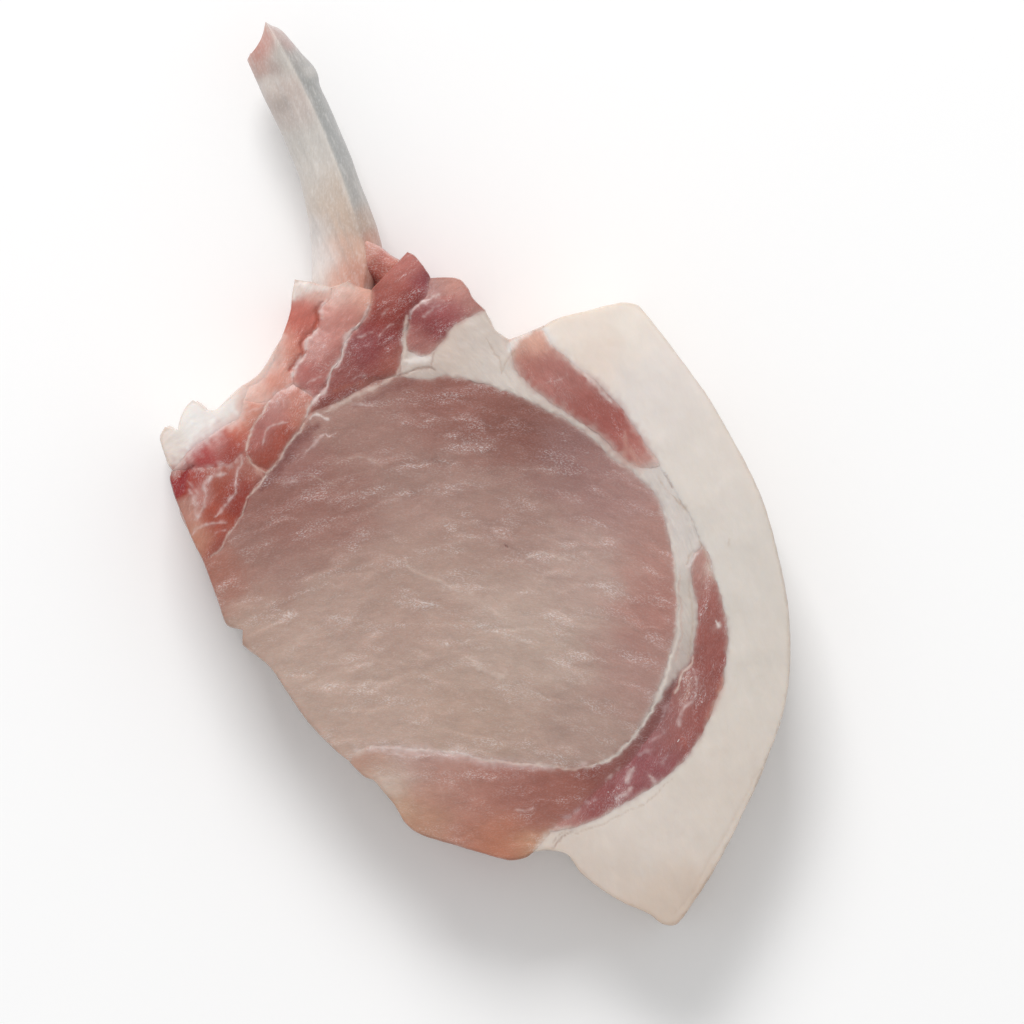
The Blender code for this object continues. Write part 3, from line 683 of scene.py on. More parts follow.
    Stroke(((49.4, -41), (49, -43.5), (48, -46), (46.6, -48.8)), 0.8, Tone.PEACH, 0.4, 0.0, 0.4),
    Stroke(((39.3, -45.2), (38.2, -46.8), (37.4, -49.2)), 0.9, Tone.LILAC_GLINT, 0.55, 0.0, 1.0),
    Stroke(((37.4, -51.6), (36, -53), (34.6, -55), (33, -56.6)), 0.8, Tone.LILAC_GLINT, 0.5, 0.0, 1.0),
    Stroke(((31.8, -59), (31, -60.4), (30.6, -61.6)), 0.6, Tone.PALE_SHEET_AND_GLINT, 0.85, 0.05, 0.2),
    Stroke(((31.4, -63), (30.2, -64), (28.6, -65.2)), 0.6, Tone.PALE_SHEET_AND_GLINT, 0.75, 0.05, 0.6),
    Stroke(((34.9, -60.8), (35.8, -61.9)), 0.7, Tone.PALE_SHEET_AND_GLINT, 0.75, 0.05, 0.4),
    Stroke(((29, -58.8), (27.6, -60.3), (26.4, -62)), 0.45, Tone.PALE_SHEET_AND_GLINT, 0.45, 0.03, 1.0),
    Stroke(((24.6, -65), (22, -66.4), (20, -68), (18, -69)), 0.6, Tone.LILAC_GLINT, 0.5, 0.0, 1.0),
    Stroke(((38.4, -56.4), (37.2, -58.4)), 0.45, Tone.LILAC_GLINT, 0.5, 0.03, 0.5),
    # edges between muscle and fat
    # a white line as the painted highlight on the side muscle's raised edge, and a tan line beside it as its painted
    # shadow
    Stroke(((44.6, -15.9), (43.6, -17.2), (42.8, -18.8)), 0.25, Tone.SINEW, 0.8, 0.04, 0.2),
    Stroke(((43.9, -15.4), (42.9, -16.8), (42.3, -18.2)), 0.18, Tone.TAN, 0.6, -0.05, 0.2),
    Stroke(((46.2, -18.2), (47, -19.6)), 0.7, Tone.CREAM, 0.6, 0.0, 0.3),
    Stroke(((17.8, 24), (20.5, 21.4), (24, 17.6), (27.5, 14)), 0.5, Tone.CHALK, 0.5, 0.02, 0.5),
    Stroke(((29.8, 8), (30.2, 5), (29.6, 2.6), (32.4, 1.8), (30.8, 5)), 0.7, Tone.FASCIA, 0.5, 0.0, 0.2),
    Stroke(((14.1, 26.2), (14.5, 23.8)), 0.25, Tone.FASCIA, 0.6, 0.03, 0.4),
    Stroke(((14, 18), (16.5, 18.6), (18.5, 19.6)), 0.25, Tone.PALE_SHEET_AND_GLINT, 0.4, 0.02, 0.9),
    Stroke(((6.9, 24.4), (7.7, 26.2), (9.2, 27.6), (10.6, 28.4)), 0.85, Tone.CHALK, 1.0, 0.0, 0.0),
    Stroke(((10.2, 28), (11.6, 28.7), (13.2, 29.2), (14.4, 28.8)), 0.5, Tone.CHALK, 0.9, 0.0, 0.1),
    Stroke(((13.6, 28.9), (14.6, 27.6), (15.4, 26)), 0.7, Tone.CHALK, 0.8, 0.0, 0.1),
        # folds, cracks and stains of the seam fat; the cracks are painted dark as their shade
    Stroke(((-14, 22.4), (-11.6, 22.4), (-9.6, 22.8)), 1.0, Tone.CHALK, 0.8, 0.05, 0.1),
    Stroke(((-15.2, 19.6), (-13.4, 20.2), (-11.7, 20.6), (-10, 20.9), (-8.9, 21), (-8, 20.6)), 0.3, Tone.CREASE_SHADE, 0.85,
           -0.2, 0.2),
    Stroke(((-8.7, 21.3), (-8.5, 22.6), (-8, 24)), 0.18, Tone.CREASE_SHADE, 0.6, -0.08, 0.3),
    Stroke(((5.6, 20), (5.3, 21.6), (4.2, 24), (2.2, 27)), 0.18, Tone.TAN, 0.5, -0.06, 0.3),
    Stroke(((5.6, 20), (6.6, 22.3), (8, 24.4)), 0.18, Tone.TAN, 0.5, -0.06, 0.3),
    Stroke(((37.9, 0), (38.7, -1.3), (39.6, -2.9)), 0.22, Tone.CREASE_SHADE, 0.75, -0.15, 0.2),
    Stroke(((36.5, -0.5), (38, -3.2), (40.8, -6), (42.6, -8.5), (44.5, -11.8), (45.4, -14.5)), 0.2, Tone.TAN, 0.6,
           -0.03, 0.5),
    Stroke(((40.8, -5.4), (42, -7)), 0.5, Tone.TAN, 0.5, 0.0, 0.7),
    Stroke(((45.4, -14.5), (46.6, -18), (48, -21.5)), 0.25, Tone.TAN, 0.35, -0.05, 0.4),
    Stroke(((50.7, -13.5), (50.8, -14.6)), 0.2, Tone.TAN, 0.4, -0.03, 0.4),
    # the thin sheet of fat folded along the side muscle's end, and the skin line at the lower corner
    Stroke(((40, -60.4), (37, -63.2), (33.2, -65.6), (29.5, -67.4), (25, -69.6)), 0.9, Tone.SHEATH, 0.5, 0.0, 0.2),
    Stroke(((40, -60.6), (37, -63.6), (33.5, -66.5), (30, -68.1), (25, -70.6), (20, -72.3)), 0.16, Tone.TAN, 0.55,
           -0.06, 0.3),
    Stroke(((20, -71.6), (17.6, -73), (15.6, -75.4)), 0.18, Tone.CREASE_SHADE, 0.7, -0.1, 0.2),
    Stroke(((18.6, -71.4), (16.4, -73.2), (15, -75)), 0.14, Tone.CREASE_SHADE, 0.5, -0.06, 0.2),
    Stroke(((19, -70.8), (16, -71.6), (13.8, -73.4), (12.8, -75)), 0.7, Tone.CREAM, 0.6, 0.03, 0.5),
    Stroke(((57, -59.5), (54, -65.5), (51, -71.5), (48.5, -75.5), (46, -79.5), (44, -83.5), (40, -88.5)), 0.35,
           Tone.TAN, 0.25, -0.05, 0.5),
    # folds and paler streaks of the eye and of the muscle under it
    Stroke(((-14, -17.6), (-12.8, -19.5), (-8, -21.3), (-3, -24)), 0.4, Tone.CREAM, 0.3, 0.08, 0.5),
    Stroke(((-12.5, -19.5), (-7, -21.7), (-1, -24.8), (5, -28.5), (13, -32.5)), 1.4, Tone.CREAM, 0.14, 0.06, 0.3),
    Stroke(((-1.5, -37), (0.5, -38.7), (2.5, -40), (5.5, -40.8), (6.5, -39.5)), 0.6, Tone.CREAM, 0.35, 0.1, 0.6),
    Stroke(((-25.5, 2.8), (-23, 3.2), (-21, 2.6), (-18.5, 1.3)), 0.22, Tone.CREAM, 0.35, 0.05, 0.4),
    Stroke(((-33.4, -0.4), (-31.7, -1.1), (-30, -1.9), (-28.3, -2.3)), 0.2, Tone.CREAM, 0.3, 0.04, 0.4),
    Stroke(((-39.1, -2.4), (-37.5, -2), (-35.4, -1.6)), 0.2, Tone.PALE_SHEET_AND_GLINT, 0.4, 0.04, 0.8),
    Stroke(((9, -18.5), (11, -17), (13, -16.2), (17, -17.2), (20, -18.3)), 0.35, Tone.CREAM, 0.3, 0.1, 0.6),
    Stroke(((6, -14.6), (8.5, -15.6), (12.5, -16.6)), 0.16, Tone.CREASE_SHADE, 0.5, -0.08, 0.4),
    Stroke(((5.9, -14.5), (6.4, -14.8)), 0.35, Tone.PIT, 0.8, -0.2, 0.1),
    Stroke(((-12.5, -4), (-11.5, -6)), 1.0, Tone.PIT, 0.18, -0.2, 0.2),
    Stroke(((-8, 2.3), (-7.6, 1.2)), 1.1, Tone.PIT, 0.2, -0.2, 0.2),
    Stroke(((-19, -61.4), (-17.4, -62.6), (-16, -63.6)), 1.6, Tone.CREAM, 0.35, 0.0, 0.4),
    Stroke(((-7.2, -62.4), (-6.3, -65.4)), 0.2, Tone.FASCIA, 0.35, 0.02, 0.5),
    Stroke(((-3, -57.6), (-1.2, -61), (0, -65.4)), 0.2, Tone.FASCIA, 0.35, 0.02, 0.5),
    Stroke(((8, -67.5), (9.6, -67.6), (11.6, -67.1)), 0.22, Tone.PALE_SHEET_AND_GLINT, 0.5, 0.03, 0.6),
)


@dataclass(frozen=True)
class Spot:
    """A place in plan where a layer has a certain colour."""

    x: float
    y: float
    colour: str
    reach: float = 8.0


def blend_spots(spots: Sequence[Spot], places: Array) -> Array:
    """Blend the colours of spots over places.

    Args:
        spots: The spots of one layer.
        places: Points in plan, one row each.

    Returns:
        The linear colour of each place.
    """
    total = np.full((len(places), 1), 1e-9)
    colour = np.zeros((len(places), 3))
    for spot in spots:
        away = np.hypot(places[:, 0] - spot.x, places[:, 1] - spot.y) / spot.reach
        weight = (np.exp(-away ** 2) + 1e-3 / (1 + away ** 4))[:, None]
        colour += weight * np.array(linear(spot.colour))
        total += weight
    return colour / total


def with_alpha(colours: Array) -> Array:
    """Add full alpha to rows of colours."""
    return np.column_stack([colours, np.ones(len(colours))])


# ---------------------------------------------------------------- the slice and its layers

@dataclass
class Slice:
    """What all layers share: the slice's thickness, its outer rim and the strokes across it.

    Attributes:
        thick: Thickness at the loin eye.
        taper: How much thinner the far ends are.
        taper_start: Distance from the eye's centre where the taper begins.
        taper_length: Length of the taper.
        levels: How many rings of points the sides have.
        rim_turn: How far the rim turns in at the underside and at the cut face.
        rim_reach: How far inside the rim the turn is felt.
        rim_share: Share of the thickness that the rounding takes, below and above.
    """

    thick: float = 25.0
    taper: float = 2.5
    taper_start: float = 45.0
    taper_length: float = 50.0
    levels: int = 18
    rim_turn: Plan = (1.7, 0.28)
    rim_reach: float = 6.0
    rim_share: Plan = (0.22, 0.045)
    rings: dict = field(init=False)
    tops: dict = field(init=False)
    rim: Path = field(init=False)
    strokes: list = field(init=False)
    noise: list = field(init=False)

    def __post_init__(self) -> None:
        """Find the outer rim from the layers' outlines and smooth the strokes."""
        self.rings = {layer.node: Path(node_outline(layer.node, SECTION_HEIGHT), True) for layer in LAYERS}
        self.tops = {}
        self.rim = Path(self.outer_rim([ring.points for ring in self.rings.values()]), True)
        self.strokes = [(stroke, Path(smooth_line(stroke.points, 0.5))) for stroke in STROKES]
        self.noise = [GradientNoise(31 + k) for k in range(6)]

    @staticmethod
    def outer_rim(rings: list) -> Array:
        """Join the outer stretches of neighbouring outlines into the chop's own rim.

        Args:
            rings: The outlines of all layers.

        Returns:
            The rim's points, clockwise.
        """
        cell, pad, gap = 0.5, 6.0, 0.3
        low = np.min([r.min(axis=0) for r in rings], axis=0) - pad
        high = np.max([r.max(axis=0) for r in rings], axis=0) + pad
        xs, ys = np.arange(low[0], high[0], cell), np.arange(low[1], high[1], cell)
        grid = np.stack(np.meshgrid(xs, ys), axis=-1).reshape(-1, 2)
        filled = np.zeros(len(grid), bool)
        for ring in rings:
            path = Path(ring, True)
            near = ((grid > ring.min(axis=0) - 1) & (grid < ring.max(axis=0) + 1)).all(axis=1)
            spots = np.flatnonzero(near)
            filled[spots] |= path.holds(grid[spots]) | (path.measure(grid[spots])[0] < gap)
        return trace_outline(filled.reshape(len(ys), len(xs)), low, cell)

    def thickness(self, places: Array) -> Array:
        """Return the slice's thickness at places in plan, with its broad unevenness."""
        centre = np.array((-6.0, -20.0))
        away = (np.linalg.norm(places - centre, axis=1) - self.taper_start) / self.taper_length
        x, y = places.T
        uneven = 0.4 * self.noise[0](x / 24, y / 20) + 0.2 * self.noise[1](x / 9, y / 8)
        return self.thick - self.taper * np.clip(away, 0.0, 1.0) ** 2 + uneven

    def wall_shares(self) -> Array:
        """Return the heights of the sides' rings as shares of the thickness, closer at the faces."""
        t = np.linspace(-0.5, 0.5, self.levels)
        return 0.5 + 0.3 * np.sin(t * math.pi) + 0.4 * t

    def rim_at(self, places: Array) -> tuple[Array, Array]:
        """Return the distance from the chop's rim and the inward direction there.

        Args:
            places: Points in plan, one row each.

        Returns:
            The distances and the directions, which average out where the rim turns sharply.
        """
        nearest = self.rim.measure(places)[0]
        total = np.zeros((len(places), 2))
        weight = np.zeros(len(places))
        near = np.flatnonzero(nearest < 4 * self.rim_reach)
        x, y = places[near].T
        for (x0, y0), (dx, dy), normal in zip(self.rim.start, self.rim.run, self.rim.normal):
            distance = np.hypot(x - x0 - dx / 2, y - y0 - dy / 2)
            pull = np.exp((nearest[near] - distance) / 2.5)
            total[near] += pull[:, None] * normal
            weight[near] += pull
        outside = near[~self.rim.holds(places[near])]
        nearest[outside] = 0.0
        return nearest, total / np.maximum(weight, 1e-9)[:, None]

    def round_rim(self, share: Array, depth: Array) -> tuple[Array, Array]:
        """Work out how the rim rounds off towards the two faces.

        Args:
            share: Height as a share of the thickness.
            depth: Distance from the chop's rim.

        Returns:
            How far each point moves inwards, and how far the face drops there.
        """
        turn, reach = (np.where(share > 0.5, pair[1], pair[0]) for pair in (self.rim_turn, self.rim_share))
        part = np.clip(1 - np.minimum(share, 1 - share) / reach, 0.0, 1.0)
        pull = turn * (1 - np.sqrt(1 - part ** 2)) * np.exp(-depth / self.rim_reach)
        return pull, 0.4 * turn * np.exp(-depth / (0.8 * turn))

    def warp(self, places: Array, height: Array, depth: Array) -> Array:
        """Return the small disorder of all borders, the same for both neighbours and less at the rim."""
        x, y = places.T
        shift = [0.3 * self.noise[k](x / 3.2, y / 3.2, height / 11) + 0.14 * self.noise[k](x / 1.1, y / 1.1, height / 6)
                 for k in (2, 3)]
        sway = np.column_stack([self.noise[k](x / 9, y / 9, height / 10) for k in (4, 5)])
        sway *= 1.1 * np.sin(math.pi * np.clip(height / self.thick, 0.0, 1.0))[:, None]
        return np.column_stack(shift) * (0.25 + 0.75 * smoothstep(0.5, 4.0, depth))[:, None] + sway

    def mix_borders(self, layer: "Layer", places: Array, tone: Array) -> Array:
        """Let the colours of neighbours run into each other along their borders.

        Args:
            layer: The layer that is being coloured.
            places: Points in plan, one row each.
            tone: The linear colour of each.

        Returns:
            The colours with the neighbours' share.
        """
        tone = tone.copy()
        x, y = places.T
        fray = 1 + 0.7 * self.noise[0](x / 1.3, y / 1.3) + 0.4 * self.noise[1](x / 4, y / 4)
        for other in LAYERS:
            ring = self.rings[other.node]
            soft = math.sqrt(layer.edge_fade * other.edge_fade)
            low, high = ring.points.min(axis=0) - 3 * soft, ring.points.max(axis=0) + 3 * soft
            near = np.flatnonzero(((places > low) & (places < high)).all(axis=1))
            if other is layer or not len(near):
                continue
            distance = ring.measure(places[near])[0] / (soft * np.clip(fray[near], 0.3, 2.0))
            near, distance = near[distance < 2.5], distance[distance < 2.5]
            share = (0.5 * np.exp(-distance ** 1.5))[:, None]
            tone[near] += share * (blend_spots(other.spots, places[near]) - tone[near])
        return tone

    def draw_strokes(self, places: Array, tone: Array) -> tuple[Array, Array]:
        """Draw the strokes over a layer's colours.

        Args:
            places: Points in plan, one row each.
            tone: The linear colour of each.

        Returns:
            The colours with the strokes, and how far each place is lifted.
        """
        lift = np.zeros(len(places))
        tone = tone.copy()
        x, y = places.T
        drift = np.column_stack([0.16 * self.noise[k](x / 2.4, y / 2.4) + 0.12 * self.noise[k](x / 0.8, y / 0.8)
                                 for k in (4, 5)])
        moved = places + drift
        for number, (stroke, path) in enumerate(self.strokes):
            reach = 4.0 * stroke.width + 0.3
            near = np.flatnonzero(((moved > path.points.min(axis=0) - reach)
                                   & (moved < path.points.max(axis=0) + reach)).all(axis=1))
            if not len(near):
                continue
            spots = moved[near]
            distance, which = path.measure(spots)
            far_end = 1 - abs(path.along[which] / path.along[-1] * 2 - 1) ** 6 * 0.5
            breaks = self.noise[1](spots[:, 0] / 1.1 + number, spots[:, 1] / 1.1)
            cover = np.clip(1 + stroke.ragged * (1.3 * breaks - 0.35), 0.0, 1.15)
            coarse = 1.0 + 1.6 * stroke.width
            width = stroke.width * (1 + 0.7 * self.noise[0](spots[:, 0] / coarse, spots[:, 1] / coarse + number)) * far_end
            width = np.maximum(width, 0.35 * stroke.width)
            mask = np.exp(-(distance / width) ** 1.9) * cover
            halo = 0.14 * np.exp(-(distance / (2.4 * width)) ** 1.6)
            blend = np.clip(0.85 * stroke.strength * np.maximum(mask, halo), 0.0, 1.0)[:, None]
            tone[near] += blend * (np.array(linear(stroke.tone.value)) - tone[near])
            lift[near] += stroke.lift * mask
        return tone, lift


@dataclass
class Layer:
    """One layer that runs through the slice, from its cut face to its underside.

    Attributes:
        node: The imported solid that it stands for.
        slot: The record's material slot.
        finish: What it is made of.
        spots: Its colours in plan.
        grain: Direction of the grain at the left and the right end of the layer, in degrees.
        crown: How far its middle stands above its edge.
        crown_width: How far from the edge the crown rises.
        edge_drop: Depth of the groove along its seams.
        edge_width: Width of that groove.
        edge_tone: Colour of the thin skin along its seams.
        edge_share: How much that colour covers.
        edge_fade: Width over which its colour runs into its neighbours'.
        waves: Height of the bundles' crests.
        wave_length: Distance between crests.
        lumps: Height of small lumps.
        wet: How wet the open face is.
        step: Distance between points of the skin.
        seed: Seed of its relief.
        lap: How far it runs under its neighbours.
    """

    node: str
    slot: str
    finish: Finish
    spots: Sequence[Spot]
    grain: tuple[float, float] = (0.0, 0.0)
    crown: float = 0.6
    crown_width: float = 2.5
    edge_drop: float = 0.25
    edge_width: float = 0.9
    edge_tone: str = "#d3a89d"
    edge_share: float = 0.4
    edge_fade: float = 0.5
    waves: float = 0.16
    wave_length: float = 2.6
    lumps: float = 0.2
    wet: float = 0.75
    step: float = 0.25
    seed: int = 1
    lap: float = 0.28

    def outline(self, body: Slice) -> tuple[Path, Path]:
        """Read the layer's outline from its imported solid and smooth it.

        Args:
            body: The slice that gives the rim.

        Returns:
            The outline, and its stretches that are seams with neighbours.
        """
        corners = node_outline(self.node, SECTION_HEIGHT)
        inward = Path(corners, True).normal
        spread = np.clip((inward * np.roll(inward, 1, axis=0)).sum(axis=1), 0.4, 1.0)
        fine = smooth_ring(corners - inward * self.lap / spread[:, None], self.step)
        ring = Path(fine[np.linalg.norm(np.roll(fine, -1, axis=0) - fine, axis=1) > 0.02], True)
        outer = body.rim.measure(ring.points)[0] < 0.8
        return ring, ring.only(~(outer & np.roll(outer, -1)))

    def grain_at(self, places: Array, middle: Array, reach: float) -> tuple[Array, Array]:
        """Return the coordinates along and across the grain at places in plan."""
        first, last = (math.radians(a) for a in self.grain)
        mean, half = (first + last) / 2, (last - first) / 2
        x, y = (places - middle).T
        across = y * math.cos(mean) - x * math.sin(mean) - half * x * x / (2 * reach)
        return x * math.cos(mean) + y * math.sin(mean), across

    def relief(self, along: Array, across: Array, seam: Array) -> tuple[Array, Array, Array]:
        """Return the height of the cut face above the slice's plain level, and what follows from it.

        Args:
            along: Coordinate along the grain.
            across: Coordinate across it.
            seam: Distance from the nearest seam.

        Returns:
            The height and the wetness of each place, and its painted light and shade: above 0 lighter on crests and wet
            patches, below 0 darker in troughs, about -1 to 1.
        """
        bend, fade, lump, patch = (GradientNoise(self.seed * 7 + k) for k in range(4))
        height = np.zeros(len(along))
        gloss = np.zeros(len(along))
        relief_light = np.zeros(len(along))
        for size, strength in ((1.0, 1.0), (0.43, 0.42)):
            long, wide = self.wave_length * size * 2.4, self.wave_length * size * 1.2
            drift = 0.85 * bend(along / long, across / wide, size) + 0.3 * bend(along / long * 3, across / wide * 3)
            phase = (across / (self.wave_length * size) + drift) % 1.0
            crest = np.where(phase < 0.66, smoothstep(0, 0.66, phase), smoothstep(0, 1, (1 - phase) / 0.34))
            presence = smoothstep(-0.15, 0.5, fade(along / (long * 0.8), across / wide, size * 3))
            height += self.waves * strength * (crest - 0.4) * presence
            gloss += strength * presence * smoothstep(0.3, 0.66, phase) * smoothstep(0.98, 0.74, phase)
            relief_light += self.waves * strength * presence * (crest - 0.5) * 6
        height *= smoothstep(0.0, 1.5, seam)
        height += self.lumps * lump(along / 5, across / 4) + 0.4 * self.lumps * lump(along / 2, across / 1.7, 5.0)
        height += self.crown * (1 - np.exp(-seam / self.crown_width)) - self.edge_drop * np.exp(-seam / self.edge_width)
        spread = smoothstep(0.0, 0.6, patch(along / 10, across / 3) + 0.5 * patch(along / 4, across / 1.2, 4.0))
        wet = self.wet * np.clip(0.14 + 0.36 * spread + 1.0 * gloss * (0.25 + spread), 0.0, 1.0)
        return height, wet, relief_light + 0.7 * (wet - 0.3)

    def build(self, body: Slice) -> bpy.types.Object:
        """Build the layer's closed skin, dress it and put it in its solid's place.

        Args:
            body: The slice that gives thickness and rim.

        Returns:
            The finished piece.
        """
        ring, seams = self.outline(body)
        count = len(ring.points)
        shares = body.wall_shares()
        top_points, top_faces = fill_ring(ring, self.step, self.seed)
        base_points, base_faces = fill_ring(ring, 1.1, self.seed)
        inner, base_inner = top_points[count:], base_points[count:]
        plan = np.vstack([np.tile(ring.points, (len(shares), 1)), inner, base_inner])
        share = np.concatenate([np.repeat(shares, count), np.ones(len(inner)), np.zeros(len(base_inner))])
        top_start = (len(shares) - 1) * count
        a = np.arange(top_start)
        b = a - a % count + (a + 1) % count
        faces = np.stack([a, a + count, b + count, b], axis=1).tolist()
        faces += (top_faces + top_start).tolist()
        to_base = np.concatenate([np.arange(count), np.arange(len(base_inner)) + top_start + count + len(inner)])
        faces += to_base[base_faces][:, ::-1].tolist()

        low, high = ring.points.min(axis=0), ring.points.max(axis=0)
        along, across = self.grain_at(plan, (low + high) / 2, (high[0] - low[0]) / 2)
        seam = seams.measure(plan)[0]
        rim_depth, inward = body.rim_at(plan)
        pull, low_rim = body.round_rim(share, rim_depth)
        relief, wet, crest = self.relief(along, across, seam)
        wall = (rim_depth < 1.0) & (share < 0.999)
        rough = GradientNoise(self.seed + 90)
        level = share * body.thick
        stray = np.column_stack([rough(plan[:, 0] / 6, level / 7, k) for k in (2.0, 9.0)])
        seen = plan + stray * (3.0 * wall * smoothstep(1.0, 0.7, share))[:, None]
        # Crests and wet patches are painted lighter and troughs darker: painted highlight and shade of the grain's
        # relief.
        tone, lift = body.draw_strokes(seen, self.paint(seen, along, across, seam, body) * (1 + 0.1 * crest)[:, None])
        tone = np.maximum(tone - self.finish.veil, 0.01)
        near_top = smoothstep(0.72, 1.0, share)
        height = share * body.thickness(plan) + near_top * (relief - low_rim)
        height += np.where(share > 0.999, lift, 0.0)
        height[share < 1e-6] = 0.0
        streak = rough(plan[:, 0] / 4, plan[:, 1] / 4, height / 8) + 0.6 * rough(plan[:, 0] / 1.5, plan[:, 1] / 1.5,
                                                                                height / 5)
        pull += wall * np.minimum(share, 1 - share) * 3 * self.lumps * (0.4 + streak)
        pull += wall * 0.7 * np.sin(math.pi * share)
        placed = plan + inward * pull[:, None] + body.warp(plan, height, rim_depth)
        body.tops[self.node] = np.column_stack([placed, height])[share > 0.999]
        tone = self.paint_sides(tone, placed, height, share, rim_depth, rough)
        return make_piece(self.node + "_skin", np.column_stack([placed, height]), faces, material_for(self.finish),
                          self.node, self.slot, tone=with_alpha(tone), wet=wet,
                          grain=np.column_stack([along, across, height]) * MM)

    def paint(self, plan: Array, along: Array, across: Array, seam: Array, body: Slice) -> Array:
        """Colour the layer from its spots, with soft clouds and fading seams.

        Args:
            plan: Points in plan.
            along: Coordinate along the grain.
            across: Coordinate across it.
            seam: Distance from the nearest seam.
            body: The slice, for its noise.

        Returns:
            The linear colour of each point.
        """
        cloud = GradientNoise(self.seed + 50)
        reach = min(4.0, 0.35 * self.spots[0].reach)
        drift = np.column_stack([cloud(along / 7, across / 4), cloud(along / 7, across / 4, 9.0)]) * reach
        tone = blend_spots(self.spots, plan + drift)
        tone *= (1 + 0.5 * self.finish.mottle * cloud(along / 8, across / 4, 3.0))[:, None]
        tone = body.mix_borders(self, plan, tone)
        x, y = plan.T
        fade = np.exp(-(seam / (0.5 * (1 + 0.6 * body.noise[0](x / 1.6, y / 1.6)))) ** 2)
        patchy = np.clip(0.6 + 0.7 * body.noise[1](x / 2.2, y / 2.2), 0.0, 1.0)
        tone += (self.edge_share * fade * patchy)[:, None] * (np.array(linear(self.edge_tone)) - tone)
        return tone

    def paint_sides(self, tone: Array, placed: Array, height: Array, share: Array, depth: Array,
                    rough: GradientNoise) -> Array:
        """Darken the rim's last fraction of a millimetre as painted shade of its rounded edge, and lay thin, pale
        sheets over the sides.

        Args:
            tone: The linear colour of each point.
            placed: Points in plan.
            height: Their heights.
            share: Height as a share of the thickness.
            depth: Distance from the chop's rim.
            rough: The layer's noise.

        Returns:
            The colours with the sides' own.
        """
        # Painted shade: within about half a millimetre of the rim the colour darkens and turns browner.
        edge = 0.5 * np.exp(-depth / 0.22)[:, None]
        tone = tone * (1 - edge * np.array((0.3, 0.4, 0.46)))
        side = smoothstep(0.05, 0.5, np.minimum(share, 1 - share)) * (depth < 1.0)
        sheet = side * smoothstep(-0.1, 0.5, rough(placed[:, 0] / 9, placed[:, 1] / 9, height / 4)) * 0.35
        return tone + sheet[:, None] * (np.array(linear(Tone.PALE_SHEET_AND_GLINT.value)) - tone)


